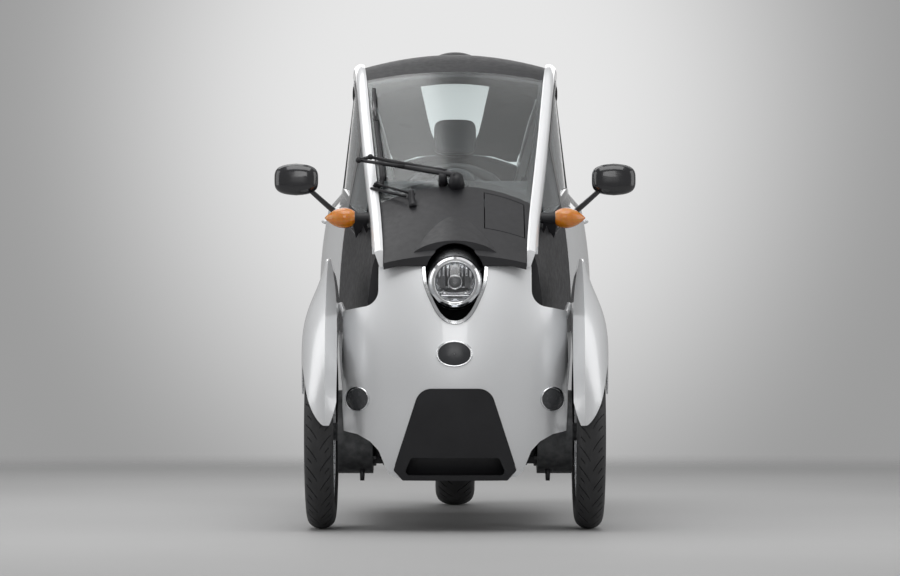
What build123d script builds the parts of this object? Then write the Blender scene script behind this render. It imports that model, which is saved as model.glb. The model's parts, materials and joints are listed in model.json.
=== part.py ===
"""Narrow three-wheeled two-seat car: two front wheels, one steered rear wheel, two front-hinged doors.

Millimetres, +Z up. The front faces -Y and the origin lies on the ground under the middle of the length.
Distances called "d" are measured rearwards from the front axle.
"""
from build123d import *
from collections import namedtuple
import math
import os

# ------------------------------------------------------------------ overall layout
LENGTH = 2350.0
WHEELBASE = 1700.0
FRONT_OVERHANG = 305.0
FRONT_AXLE_Y = FRONT_OVERHANG - LENGTH / 2
REAR_OVERHANG = LENGTH - FRONT_OVERHANG - WHEELBASE
REAR_END = WHEELBASE + REAR_OVERHANG
BIG = 4000.0

# ------------------------------------------------------------------ wheels
FRONT_TYRE_R = 275.0
FRONT_TYRE_W = 82.0
FRONT_TRACK_HALF = 378.5
FRONT_BEAD_R = 206.0
REAR_TYRE_R = 238.0
REAR_TYRE_W = 130.0
REAR_BEAD_R = 132.0
TYRE_CROWN = 15.0
SHOULDER_SHARE = 0.35
WALL_DIP = 1.0
BEAD_INSET = 8.0
RIM_WALL = 9.0
RIM_SEAT_GAP = 0.2
HUB_R = 46.0
FRONT_HUB_W = 54.0
REAR_HUB_W = 100.0
SPOKE_COUNT = 10
SPOKE_W = 17.0
SPOKE_T = 16.0
AXLE_R = 15.0
RUNNING_GAP = 0.05
WHEEL_SIDE_GAP = 5.0

# ------------------------------------------------------------------ knuckles and suspension
MOTOR_R = 118.0
MOTOR_W = 98.0
KNUCKLE_GAP = 2.5
BOSS_WALL = 10.0
NUT_WALL = 8.0
NUT_T = 8.0
HUB_FACE_GAP = 1.0
UPRIGHT_REACH = 20.0
UPRIGHT_W = 70.0
UPRIGHT_T = 30.0
UPPER_ARM_Z = 430.0
LOWER_ARM_Z = 205.0
ARM_R = 14.0
ARM_ROOT_X = 130.0
ARM_JOINT_L = 30.0
ARM_JOINT_H = 40.0
ARM_JOINT_W = 40.0
ARM_LAP = 20.0
SUBFRAME_TUBE = 30.0

# ------------------------------------------------------------------ body skin
GLASS_T = 5.0
ROOF_T = 20.0
DOOR_T = 36.0
PANEL_T = 14.0
SEAL_GAP = 1.0
DOOR_GAP = 7.0
HOOP_W = 29.0
HOOP_PROUD = 10.0
HOOP_DEPTH = 36.0
HOOP_SHOULDER = 16.0
HOOP_CREST_SHARE = 0.72
HOOP_CREST_DROP = 2.0
HOOP_FRONT = -168.0
HOOP_FOOT_END = -110.0
HOOP_FOOT_X = 212.0
HOOP_FOOT_Z = 740.0
HOOP_FOOT_TOP_X = 240.0
HOOP_FOOT_TOP_Z = 822.0
COWL_FRONT = -205.0
COWL_END = 60.0
SCREEN_END = 552.0
ROOF_END = 1300.0
REAR_WINDOW_END = 1690.0
DOOR_FRONT = 330.0
DOOR_REAR = 1080.0
FRAME_BAR = 34.0

# how far the shoulder lies below the belt, as a share of the height from sill to belt
SHOULDER_DROP = 0.062
Section = namedtuple("Section", "d rail_w rail_z crown_z belt_w belt_z shoulder_w waist_w sill_w sill_z")
# one row per place along the body: distance behind the front axle, half-width and height of the
# roof rail, height of the crown, half-width and height of the belt, half-width at the shoulder and
# at the waist, half-width and height of the sill
BODY_SECTIONS = [
    Section(-470.0, 183.0, 571.0, 590.0, 192.0, 480.0, 195.0, 200.0, 200.0, 380.0),
    Section(-205.0, 200.0, 748.0, 772.0, 222.0, 700.0, 226.0, 236.0, 236.0, 400.0),
    Section(60.0, 217.0, 925.0, 976.0, 252.0, 866.0, 258.0, 284.0, 282.0, 350.0),
    Section(330.0, 246.0, 1150.0, 1190.0, 310.0, 935.0, 320.0, 342.0, 318.0, 300.0),
    Section(550.0, 266.0, 1318.0, 1344.0, 336.0, 975.0, 364.0, 388.0, 338.0, 280.0),
    Section(950.0, 287.0, 1362.0, 1422.0, 358.0, 965.0, 394.0, 414.0, 345.0, 280.0),
    Section(1300.0, 269.0, 1335.0, 1388.0, 340.0, 970.0, 374.0, 394.0, 325.0, 300.0),
    Section(1690.0, 207.0, 1125.0, 1168.0, 266.0, 925.0, 284.0, 312.0, 262.0, 400.0),
    Section(1870.0, 167.0, 975.0, 1010.0, 216.0, 850.0, 226.0, 252.0, 206.0, 500.0),
    Section(2025.0, 125.0, 850.0, 878.0, 160.0, 772.0, 166.0, 184.0, 150.0, 590.0),
    Section(2180.0, 83.0, 725.0, 746.0, 104.0, 640.0, 107.0, 116.0, 94.0, 570.0),
]
COWL_ROW = BODY_SECTIONS[2]
SCREEN_TOP_ROW = BODY_SECTIONS[4]
FORK_ROW = BODY_SECTIONS[7]
TAIL_ROW = BODY_SECTIONS[9]

# ------------------------------------------------------------------ nose
NoseRow = namedtuple("NoseRow", "z front half_w front_r corner_r")
# height, distance of the foremost point behind the front axle, half-width, radius across the
# front, radius of each corner
NOSE_ROWS = [
    NoseRow(140.0, -222.0, 306.0, 620.0, 110.0),
    NoseRow(300.0, -276.0, 316.0, 560.0, 120.0),
    NoseRow(450.0, -290.0, 318.0, 520.0, 125.0),
    NoseRow(600.0, -262.0, 316.0, 500.0, 125.0),
    NoseRow(742.0, -205.0, 310.0, 480.0, 125.0),
]
NOSE_T = 16.0
NOSE_BACK = -10.0
ARCH_BACK = -135.0
ARCH_TOP = 470.0
NOSE_TOP_Z = 740.0
NOSE_SIDE_Z = 612.0
NOSE_NECK_W = 214.0
NOSE_WIDEST = NOSE_ROWS[2].half_w
NOTCH_Z = 634.0
NOTCH_FILLET = 46.0
OUTLINE_FILLET = 24.0
ARCH_OUT_Z = 287.0
# the wheel arch's edge and the lowest edge, as (half-width, height)
ARCH_POINTS = [
    (272.0, 272.0),
    (236.0, 252.0),
    (212.0, 226.0),
    (197.0, 188.0),
    (186.0, 164.0),
    (170.0, 153.0),
    (150.0, 150.0),
]
INTAKE_TOP_Z = 398.0
INTAKE_TOP_W = 97.0
INTAKE_LOW_Z = 172.0
INTAKE_LOW_W = 171.0
INTAKE_BOTTOM_Z = 143.0
INTAKE_BOTTOM_W = 146.0
INTAKE_T = 55.0
INTAKE_TOP_FILLET = 46.0
INTAKE_LOW_FILLET = 7.0
MOUTH_TOP_W = 122.0
MOUTH_LOW_W = 143.0
MOUTH_LOW_Z = 158.0
MOUTH_TOP_Z = 207.0
MOUTH_DEPTH = 44.0
MOUTH_FILLET = 11.0
TRIM_GAP = 1.0
TRIM_PROUD = 4.0
TRIM_REACH = 30.0

# ------------------------------------------------------------------ lamps
HEADLAMP_Z = 694.0
HEADLAMP_FRONT = -262.0
HEADLAMP_RING_R = 70.5
HEADLAMP_LENS_R = 56.0
HEADLAMP_BODY_R = 74.5
HEADLAMP_BODY_BACK = -110.0
HEADLAMP_CHAMFER = 20.0
CAN_LIP = 4.0
CAN_WALL = 6.0
RING_NOSE = 2.0
RING_CREST = 8.0
RING_OVERLAP = 3.0
HEADLAMP_BOWL = 45.0
BOWL_WAIST_R = 30.0
BOWL_FLOOR_R = 14.0
DOME_FRONT = -230.0
DOME_INSET = 1.5
DOME_BACK = -150.0
DOME_BACK_Z = 721.0
DOME_BACK_R = 80.0
LAMP_ROOM_FRONT_Z = 718.0
LAMP_ROOM_FRONT_R = 82.0
LAMP_ROOM_BACK_Z = 790.0
LAMP_ROOM_BACK_R = 103.0
HOOD_FRONT = -187.0
HOOD_FRONT_W = 136.0
HOOD_FRONT_H = 71.0
HOOD_BACK = -15.0
HOOD_BACK_Z = 762.0
HOOD_BACK_W = 150.0
HOOD_BACK_H = 150.0
HOOD_WALL = 9.0
COWL_LIP_Z = 741.0
COWL_SKIRT = 70.0
RING_T = 20.0
LENS_BULGE = 8.0
LENS_T = 5.0
SHIELD_RIM = 9.0
# the shield's right edge from top to bottom, as (half-width, height)
SHIELD_POINTS = [
    (92.0, 776.0),
    (91.5, 730.0),
    (85.5, 686.0),
    (67.5, 640.0),
    (44.8, 601.0),
    (22.0, 582.5),
    (0.0, 578.0),
]
LAMP_COVER_X = 271.0
LAMP_COVER_Z = 370.0
LAMP_COVER_R = 30.5

# ------------------------------------------------------------------ cowl, side panels, tail
COWL_T = 18.0
LID_X = 140.0
LID_D = -28.0
LID_W = 110.0
LID_L = 140.0
LID_GAP = 3.0
RECESS_FRONT = -125.0
RECESS_LOW_Z = 560.0
BULKHEAD_W = 62.0
QUARTER_GLASS_FRONT = 120.0
TAIL_D = TAIL_ROW.d
TAIL_FILLET = 14.0
LAMP_IN_X = 92.0
LAMP_OUT_X = 136.0
LAMP_LOW_Z = 650.0
LAMP_TOP_Z = 780.0

# ------------------------------------------------------------------ doors
DOOR_FRAME_T = 22.0
DOOR_LAP = 14.0
DOOR_TOP_GAP = 10.0
DOOR_GLASS_INSET = 8.0

# ------------------------------------------------------------------ tub and interior
TUB_LOW_Z = 180.0
TUB_FLOOR_T = 30.0
TUB_SILL_Z = 268.0
TUB_SILL_W = 42.0
TUB_HALF_W = 318.0
TUB_WALL = 15.0
TUB_WIDE_FRONT = 334.0
TUB_REAR = 1400.0
WELL_HALF_W = 205.0
WELL_FRONT = 22.0
WELL_TOP_Z = 760.0
REAR_WALL_HALF_W = 220.0
REAR_DECK_Z = 660.0
REAR_DECK_END = 1560.0
REAR_STEP_FRONT = 1180.0
REAR_SEAT_Z = 470.0
PEDESTAL_HALF_W = 170.0
PEDESTAL_FRONT = 620.0
PEDESTAL_REAR = 1060.0
SEAT_REST_Z = 390.0
BATTERY_GAP = 5.0
BATTERY_H = 150.0
DASH_HALF_W = 214.0
DASH_FILLET = 12.0
# the dashboard's outline from its front foot round over its top, as (distance, height)
DASH_POINTS = [
    (110.0, 914.0),
    (150.0, 970.0),
    (290.0, 1004.0),
    (350.0, 984.0),
    (330.0, 884.0),
    (260.0, 780.0),
    (110.0, 820.0),
]
STEERING_D = 520.0
STEERING_Z = 905.0
STEERING_LEAN = 28.0
STEERING_R = 165.0
STEERING_RIM_R = 14.0
STEERING_HUB_R = 52.0
STEERING_HUB_T = 36.0
STEERING_ARM_W = 27.0
STEERING_ARM_T = 10.0
STEERING_ARM_TURNS = (0, 180, 270)
COLUMN_R = 28.0
COLUMN_LENGTH = 190.0
COLUMN_GAP = 1.0
COLUMN_PIN_R = 12.0
COLUMN_PIN_L = 16.0
SEAT_T = 105.0
SEAT_DROP = 20.0
SEAT_ROLL_D = 60.0
SEAT_BACK_SHARE = 0.8
SEAT_TOP_DROP = 40.0
SEAT_TOP_FRONT = 30.0
SEAT_TOP_REAR = 20.0
SEAT_HALF_W = 190.0
SOFT_GAP = 0.3
FRONT_SEAT_D = 600.0
FRONT_SEAT_L = 460.0
FRONT_BACK_TOP_D = 1190.0
FRONT_BACK_TOP_Z = 1145.0
HEADREST_D = 1160.0
HEADREST_T = 80.0
HEADREST_TOP_Z = 1245.0
HEADREST_HALF_W = 80.0
HEADREST_LAP = 38.0
SEAT_FILLET = 14.0
REAR_SEAT_D = 1190.0
REAR_SEAT_HALF_W = 160.0
REAR_SEAT_L = 194.0
REAR_BACK_TOP_D = 1500.0
REAR_BACK_TOP_Z = 1120.0

# ------------------------------------------------------------------ mirrors, turn signals, wiper, fin
MIRROR_X = 456.0
MIRROR_D = 90.0
MIRROR_Z = 997.0
MIRROR_W = 126.0
MIRROR_H = 92.0
MIRROR_DEPTH = 46.0
MIRROR_CORNER = 35.0
MIRROR_ROUND = 25.0
MIRROR_STALK_X = 418.0
MIRROR_STALK_Z = 969.0
STALK_R = 8.0
STALK_FOOT_X = 286.0
STALK_FOOT_D = 130.0
STALK_FOOT_Z = 860.0
SIGNAL_X = 285.0
SIGNAL_D = 40.0
SIGNAL_Z = 884.0
SIGNAL_L = 88.0
SIGNAL_BASE_R = 18.0
# the lens's outline between base and tip, as (share of its length, radius)
SIGNAL_CONTROL = [(0.25, 37.7), (0.7, 31.9)]
SIGNAL_STALK_R = 16.0
RECESS_REACH_X = 245.0
WIPER_PIVOT_D = 40.0
WIPER_LIFT = 30.0
WIPER_ARM_R = 5.0
WIPER_KNEE_LIFT = 44.0
WIPER_BOSS_R = 20.0
WIPER_BOSS_LOW = -40.0
WIPER_BOSS_TOP = 40.0
WiperArm = namedtuple("WiperArm", "pivot_x pivot_d knee_x knee_d")
# one row per parallel arm: where it turns and where it holds the blade
WIPER_ARMS = [
    WiperArm(0.0, 40.0, -236.0, 150.0),
    WiperArm(-34.0, 26.4, -225.8, 122.8),
]
WIPER_BLADE_R = 6.0
WIPER_BLADE_LOW_X = -196.0
WIPER_BLADE_LOW_D = 90.0
WIPER_BLADE_HIGH_X = -232.0
WIPER_BLADE_HIGH_D = 470.0
FIN_D = 900.0
FIN_Z = 1402.0
FIN_HALF_W = 70.0
FIN_HALF_L = 110.0
FIN_H = 31.0

# ------------------------------------------------------------------ front fender, rear fork, plate
SUBFRAME_FRONT = -95.0
SUBFRAME_REAR = -12.0
FENDER_IN_X = 328.0
FENDER_OUT_X = 427.0
FENDER_RIDGE_X = 359.0
FENDER_TURN = 0.42
FENDER_INNER_TURN = 0.45
FENDER_BULGE_X = 0.66
FENDER_BULGE_D = 0.36
STAY_R = 9.0
STAY_FOOT_IN = 22.0
STAY_FOOT_UP = 18.0
STAY_HEAD_X = 329.0
STAY_HEAD_D = 60.0
STAY_HEAD_Z = 640.0
FENDER_WALL = 2.5
FenderRow = namedtuple("FenderRow", "z front back inner outer end_shift")
# height, foremost and rearmost places, inner and outer side, and which way an end draws in
FENDER_ROWS = [
    FenderRow(297.0, -288.5, -256.0, 330.0, 370.0, 1.0),
    FenderRow(316.0, -294.0, -206.0, 328.0, 401.0, 0.0),
    FenderRow(350.0, -300.0, -166.0, 328.0, 418.0, 0.0),
    FenderRow(430.0, -305.0, -66.0, FENDER_IN_X, FENDER_OUT_X, 0.0),
    FenderRow(545.0, -290.0, 44.0, FENDER_IN_X, FENDER_OUT_X, 0.0),
    FenderRow(655.0, -222.0, 108.0, 333.0, 400.0, 0.0),
    FenderRow(728.0, -122.0, 96.0, 344.0, 375.0, 0.0),
    FenderRow(766.0, -26.0, 46.0, 353.0, 364.0, -1.0),
]
FENDER_TYRE_GAP = 12.0
STEER_HEAD_Z = 540.0
STEER_HEAD_H = 70.0
STEER_HEAD_R = 46.0
STEER_PIN_R = 20.0
STEER_PIN_L = 72.0
REAR_CROSS_IN = 44.0
REAR_CROSS_FRONT = 60.0
REAR_CROSS_REAR = 20.0
TAIL_BAR_HALF_W = 40.0
TAIL_BAR_UP = 30.0
FORK_OUT_X = 98.0
FORK_LEG_T = 16.0
FORK_TOP_GAP = 16.0
FORK_HEAD_GAP = 5.0
FORK_CROWN_HALF_L = 60.0
FORK_LEG_HALF_L = 30.0
FORK_LEG_LOW = 35.0
FORK_AXLE_IN = 2.0
PLATE_HALF_W = 110.0
PLATE_H = 110.0
PLATE_T = 6.0
PLATE_D = 1985.0
PLATE_LOW_Z = 400.0
PLATE_HOLE_X = 70.0
PLATE_HOLE_R = 3.5
PLATE_ARM_HALF_W = 30.0
HANGER_TOP = 30.0
HANGER_T = 12.0
HANGER_GAP = 2.0
CUT_REACH = 5.0


def at(d):
    """The y of a place d behind the front axle."""
    return FRONT_AXLE_Y + d


def slab(d_low, d_high, z_low=-BIG / 2, z_high=BIG / 2):
    """A wide block between two distances along the car, and between two heights."""
    centre = (0, at((d_low + d_high) / 2), (z_low + z_high) / 2)
    return Pos(*centre) * Box(BIG, d_high - d_low, z_high - z_low)


def both_sides(shape):
    """The piece together with its mirror image on the other side."""
    return Compound([*shape.solids(), *mirror(shape, about=Plane.YZ).solids()])


def rod(start, end, radius):
    """A round bar between two points."""
    run = Vector(*end) - Vector(*start)
    return Plane(origin=start, z_dir=run) * Pos(0, 0, run.length / 2) * Cylinder(radius, run.length)


def block(x_low, x_high, d_low, d_high, z_low, z_high):
    """A box given by its limits."""
    centre = ((x_low + x_high) / 2, at((d_low + d_high) / 2), (z_low + z_high) / 2)
    return Pos(*centre) * Box(x_high - x_low, d_high - d_low, z_high - z_low)


def front_prism(points, fillet_r, d_low, d_high):
    """An outline in (x, z), with its corners rounded, drawn along the car."""
    return front_extrude(make_face(FilletPolyline(*points, radius=fillet_r, close=True)), d_low, d_high)


def front_extrude(face, d_low, d_high):
    """A face in (x, z) drawn along the car."""
    plane = Plane(origin=(0, at(d_high), 0), x_dir=(1, 0, 0), z_dir=(0, -1, 0))
    return extrude(plane * face, d_high - d_low)


def rounded_face(corners):
    """A face from rows of (x, z, corner radius)."""
    face = make_face(Polyline(*[(x, z) for x, z, radius in corners], close=True)).face()
    for x, z, radius in corners:
        if radius:
            nearest = face.vertices().sort_by_distance((x, z, 0))[0]
            face = face.fillet_2d(radius, [nearest])
    return face


def side_prism(points, fillet_r, x_low, x_high):
    """An outline in (d, z), with its corners rounded, drawn across the car."""
    face = make_face(FilletPolyline(*[(at(d), z) for d, z in points], radius=fillet_r, close=True))
    return extrude(Plane(origin=(x_low, 0, 0), x_dir=(0, 1, 0), z_dir=(1, 0, 0)) * face, x_high - x_low)


def loft_rows(make_section, rows):
    """One smooth solid through a section for each row."""
    return loft([make_section(row) for row in rows])


# ------------------------------------------------------------------ skin made from the body sections
def top_band(d_low, d_high, thickness, inset=SEAL_GAP):
    """The part of the upper skin between the two rails, from d_low to d_high."""

    def section(row):
        y = at(row.d)
        w = row.rail_w - inset
        outer = ThreePointArc((-w, y, row.rail_z), (0, y, row.crown_z), (w, y, row.rail_z))
        right = Line((w, y, row.rail_z), (w, y, row.rail_z - thickness))
        under_crown = (0, y, row.crown_z - thickness)
        inner = ThreePointArc((w, y, row.rail_z - thickness), under_crown, (-w, y, row.rail_z - thickness))
        left = Line((-w, y, row.rail_z - thickness), (-w, y, row.rail_z))
        return Face(Wire([outer, right, inner, left]))

    return loft_rows(section, BODY_SECTIONS) & slab(d_low, d_high)


def hoop():
    """One side's pillar, roof rail and rear pillar in a single bar."""

    def section(row):
        y = at(row.d)
        x_in = row.rail_w
        x_out = row.rail_w + HOOP_W
        z_top = row.rail_z + HOOP_PROUD
        z_low = row.rail_z - HOOP_DEPTH
        z_shoulder = row.rail_z - HOOP_SHOULDER
        crest = (x_in + HOOP_CREST_SHARE * HOOP_W, y, z_top - HOOP_CREST_DROP)
        return Face(Wire([
            ThreePointArc((x_in, y, z_top), crest, (x_out, y, z_shoulder)),
            Line((x_out, y, z_shoulder), (x_out, y, z_low)),
            Line((x_out, y, z_low), (x_in, y, z_low)),
            Line((x_in, y, z_low), (x_in, y, z_top)),
        ]))

    return (loft_rows(section, BODY_SECTIONS) & slab(HOOP_FRONT, TAIL_ROW.d)) - hoop_foot_cut()


def hoop_foot_cut():
    """What the pillar's foot loses on its outer side, so that it narrows to a tip."""
    points = [
        (HOOP_FOOT_TOP_X, HOOP_FOOT_TOP_Z),
        (HOOP_FOOT_TOP_X + HOOP_W, HOOP_FOOT_TOP_Z),
        (HOOP_FOOT_TOP_X + HOOP_W, HOOP_FOOT_Z - 2 * HOOP_W),
        (HOOP_FOOT_X - HOOP_W, HOOP_FOOT_Z - 2 * HOOP_W),
        (HOOP_FOOT_X, HOOP_FOOT_Z),
    ]
    return front_prism(points, SEAL_GAP, HOOP_FRONT - SEAL_GAP, HOOP_FOOT_END)


def window_band(d_low, d_high, thickness, lift=0.0, drop=0.0, proud=0.0):
    """The side skin between belt and rail, from d_low to d_high, trimmed by lift and drop."""

    def section(row):
        y = at(row.d)
        top_z = row.rail_z - HOOP_DEPTH - SEAL_GAP
        top_w = row.rail_w + HOOP_W
        slope = (top_w - row.belt_w) / (top_z - row.belt_z)
        low_z = row.belt_z + lift
        high_z = top_z - drop
        low_w = row.belt_w + slope * lift + proud
        high_w = top_w - slope * drop + proud
        corners = [
            (low_w, y, low_z),
            (high_w, y, high_z),
            (high_w - thickness, y, high_z),
            (low_w - thickness, y, low_z),
        ]
        return Face(Wire.make_polygon(corners, close=True))

    return loft_rows(section, BODY_SECTIONS) & slab(d_low, d_high)


def flank_band(d_low, d_high, thickness, z_floor=0.0):
    """The bulged side skin below the belt, with its sloping shoulder, from d_low to d_high."""

    def section(row):
        y = at(row.d)
        mid_z = (row.belt_z + row.sill_z) / 2
        shoulder_z = row.belt_z - SHOULDER_DROP * (row.belt_z - row.sill_z)

        def edge(inward):
            belt = (row.belt_w - inward, y, row.belt_z)
            shoulder = (row.shoulder_w - inward, y, shoulder_z)
            waist = (row.waist_w - inward, y, mid_z)
            sill = (row.sill_w - inward, y, row.sill_z)
            return belt, shoulder, waist, sill

        belt, shoulder, waist, sill = edge(0.0)
        belt_in, shoulder_in, waist_in, sill_in = edge(thickness)
        return Face(Wire([
            Line(belt, shoulder),
            ThreePointArc(shoulder, waist, sill),
            Line(sill, sill_in),
            ThreePointArc(sill_in, waist_in, shoulder_in),
            Line(shoulder_in, belt_in),
            Line(belt_in, belt),
        ]))

    return loft_rows(section, BODY_SECTIONS) & slab(d_low, d_high, z_floor, BIG)


def windscreen():
    return top_band(COWL_END + SEAL_GAP, SCREEN_END - SEAL_GAP, GLASS_T)


def roof_panel():
    return top_band(SCREEN_END, ROOF_END, ROOF_T) + roof_fin()


def rear_window():
    return top_band(ROOF_END + SEAL_GAP, REAR_WINDOW_END - SEAL_GAP, GLASS_T)


def tail_deck():
    return top_band(REAR_WINDOW_END, TAIL_ROW.d, PANEL_T)


# ------------------------------------------------------------------ nose
def nose_chain(row, inward, y_back):
    """The nose's outline at one height: side, corner arc, front arc, corner arc, side."""
    half_w = row.half_w - inward
    corner = row.corner_r - inward
    front = row.front_r - inward
    y_front = at(row.front) + inward
    front_centre = Vector(0, y_front + front, row.z)
    corner_x = half_w - corner
    corner_y = front_centre.Y - math.sqrt((front - corner) ** 2 - corner_x ** 2)
    points = []
    for side in (-1, 1):
        centre = Vector(side * corner_x, corner_y, row.z)
        meet = front_centre + (centre - front_centre).normalized() * front
        side_point = Vector(side * half_w, corner_y, row.z)
        middle = centre + ((meet - centre).normalized() + Vector(side, 0, 0)).normalized() * corner
        points.append((Vector(side * half_w, y_back, row.z), side_point, middle, meet))
    left, right = points
    return [
        Line(left[0], left[1]),
        ThreePointArc(left[1], left[2], left[3]),
        ThreePointArc(left[3], Vector(0, y_front, row.z), right[3]),
        ThreePointArc(right[3], right[2], right[1]),
        Line(right[1], right[0]),
    ]


def nose_skin(thickness, proud=0.0):
    """The nose's wall, from its outer face moved out by proud to a depth of thickness."""
    y_back = at(NOSE_BACK)

    def section(row):
        outer = nose_chain(row, -proud, y_back)
        inner = nose_chain(row, thickness, y_back)
        joins = [Line(outer[-1] @ 1, inner[-1] @ 1), Line(inner[0] @ 0, outer[0] @ 0)]
        return Face(Wire(outer + inner + joins))

    return loft_rows(section, NOSE_ROWS)


def mirrored_points(points):
    """An outline's right half, from top to bottom, followed by its left half."""
    return points + [(-x, *rest) for x, *rest in reversed(points)]


def nose_outline():
    side_x = NOSE_WIDEST + OUTLINE_FILLET
    corners = [
        (NOSE_NECK_W, NOSE_TOP_Z + OUTLINE_FILLET, 0),
        (NOSE_NECK_W, NOTCH_Z, NOTCH_FILLET),
        (side_x, NOSE_SIDE_Z, 0),
        (side_x, ARCH_OUT_Z, 0),
    ]
    corners += [(x, z, OUTLINE_FILLET) for x, z in ARCH_POINTS]
    return front_extrude(rounded_face(mirrored_points(corners)), *FRONT_CUT[:1], NOSE_BACK + TRIM_REACH)


def intake_outline(grow, d_low, d_high):
    corners = [
        (INTAKE_TOP_W + grow, INTAKE_TOP_Z + grow, INTAKE_TOP_FILLET),
        (INTAKE_LOW_W + grow, INTAKE_LOW_Z, INTAKE_LOW_FILLET),
        (INTAKE_BOTTOM_W + grow, INTAKE_BOTTOM_Z - grow, INTAKE_LOW_FILLET),
    ]
    return front_extrude(rounded_face(mirrored_points(corners)), d_low, d_high)


def shield_outline(inset, d_low, d_high):
    """The smooth V under the headlamp, drawn in by inset along its own normals."""
    right = [Vector(x, z) for x, z in SHIELD_POINTS]
    before = [Vector(right[0].X, right[0].Y + TRIM_REACH)] + right[:-1]
    after = right[1:] + [Vector(-right[-2].X, right[-2].Y)]
    points = []
    for point, previous, following in zip(right, before, after):
        run = (following - previous).normalized()
        points.append((point.X + run.Y * inset, point.Y - run.X * inset))
    points += [(-x, z) for x, z in reversed(points[:-1])]
    edge = Spline(*points)
    return front_extrude(make_face(Wire([edge, Line(edge @ 1, edge @ 0)])), d_low, d_high)


def lamp_disc(radius, x, z, d_low, d_high):
    middle = (x, at((d_low + d_high) / 2), z)
    return Pos(*middle) * Rot(90, 0, 0) * Cylinder(radius, d_high - d_low)


# how far along the car an outline is drawn when it cuts the nose
FRONT_CUT = (-345.0, -60.0)


def nose_panel():
    panel = nose_skin(NOSE_T) & nose_outline()
    panel -= slab(ARCH_BACK, NOSE_BACK + TRIM_REACH, 0, ARCH_TOP)
    panel -= both_sides(hoop())
    panel -= top_band(COWL_FRONT, COWL_END, COWL_T + TRIM_GAP, inset=-TRIM_GAP)
    panel -= slab(COWL_FRONT - TRIM_GAP, NOSE_BACK + TRIM_REACH, COWL_LIP_Z - TRIM_GAP)
    panel -= intake_outline(TRIM_GAP, *FRONT_CUT)
    panel -= shield_outline(-TRIM_GAP, *FRONT_CUT)
    for side in (-1, 1):
        panel -= lamp_disc(LAMP_COVER_R + TRIM_GAP, side * LAMP_COVER_X, LAMP_COVER_Z, *FRONT_CUT)
    return panel


def lower_intake():
    solid = nose_skin(INTAKE_T, TRIM_PROUD) & intake_outline(0.0, *FRONT_CUT)
    mouth_corners = [
        (MOUTH_TOP_W, MOUTH_TOP_Z, MOUTH_FILLET),
        (MOUTH_LOW_W, MOUTH_LOW_Z, MOUTH_FILLET),
    ]
    mouth = front_extrude(rounded_face(mirrored_points(mouth_corners)), *FRONT_CUT)
    return solid - (mouth & nose_skin(MOUTH_DEPTH, TRIM_REACH))


def shield_trim():
    ring = shield_outline(0.0, *FRONT_CUT) - shield_outline(SHIELD_RIM, *FRONT_CUT)
    below = block(-BIG / 2, BIG / 2, *FRONT_CUT, 0, COWL_LIP_Z - TRIM_GAP)
    body_hole = lamp_disc(HEADLAMP_BODY_R + TRIM_GAP, 0, HEADLAMP_Z, *FRONT_CUT)
    return (nose_skin(NOSE_T, TRIM_PROUD) & ring & below) - body_hole - headlamp_dome(TRIM_GAP)


def round_lamp_covers():
    skin = nose_skin(NOSE_T, TRIM_PROUD)
    return both_sides(skin & lamp_disc(LAMP_COVER_R, LAMP_COVER_X, LAMP_COVER_Z, *FRONT_CUT))


# ------------------------------------------------------------------ headlamp
def headlamp_axis_shape(profile):
    """A profile in (radius, distance behind the lamp's front) turned about the lamp's axis."""
    face = make_face(Polyline(*profile, close=True))
    turned = revolve(face, Axis.Y)
    return Pos(0, at(HEADLAMP_FRONT), HEADLAMP_Z) * turned


def lamp_tunnel(front_d, front_z, front_r, back_d, back_z, back_r):
    """A round form along the car that climbs and widens towards the back."""

    def ring(d, z, radius):
        return Plane(origin=(0, at(d), z), z_dir=(0, 1, 0)) * Face(Wire(Edge.make_circle(radius)))

    return loft([ring(front_d, front_z, front_r), ring(back_d, back_z, back_r)])


def headlamp_housing():
    back = HEADLAMP_BODY_BACK - HEADLAMP_FRONT
    wall = HEADLAMP_BODY_R - CAN_WALL
    can_front = RING_T + CAN_LIP
    can = headlamp_axis_shape([
        (HEADLAMP_BODY_R, can_front),
        (HEADLAMP_BODY_R, back - HEADLAMP_CHAMFER),
        (HEADLAMP_BODY_R - HEADLAMP_CHAMFER, back),
        (0, back),
        (0, can_front),
    ])
    bowl = headlamp_axis_shape([
        (0, RING_T),
        (wall, RING_T),
        (wall, can_front),
        (HEADLAMP_LENS_R, can_front + CAN_LIP),
        (BOWL_WAIST_R, HEADLAMP_BOWL + RING_T - CAN_LIP),
        (BOWL_FLOOR_R, HEADLAMP_BOWL + RING_T),
        (0, HEADLAMP_BOWL + RING_T),
    ])
    return can + headlamp_dome(0.0) - bowl


def headlamp_dome(grow):
    radius = HEADLAMP_BODY_R - DOME_INSET + grow
    return lamp_tunnel(DOME_FRONT, HEADLAMP_Z, radius, DOME_BACK, DOME_BACK_Z, DOME_BACK_R + grow)


def headlamp_ring():
    inner_r = HEADLAMP_LENS_R + TRIM_GAP
    back = RING_T + RING_OVERLAP
    return headlamp_axis_shape([
        (inner_r, RING_NOSE),
        (HEADLAMP_LENS_R + RING_CREST, 0.0),
        (HEADLAMP_RING_R, RING_CREST),
        (HEADLAMP_RING_R + CAN_LIP, back),
        (inner_r, back),
    ])


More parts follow.
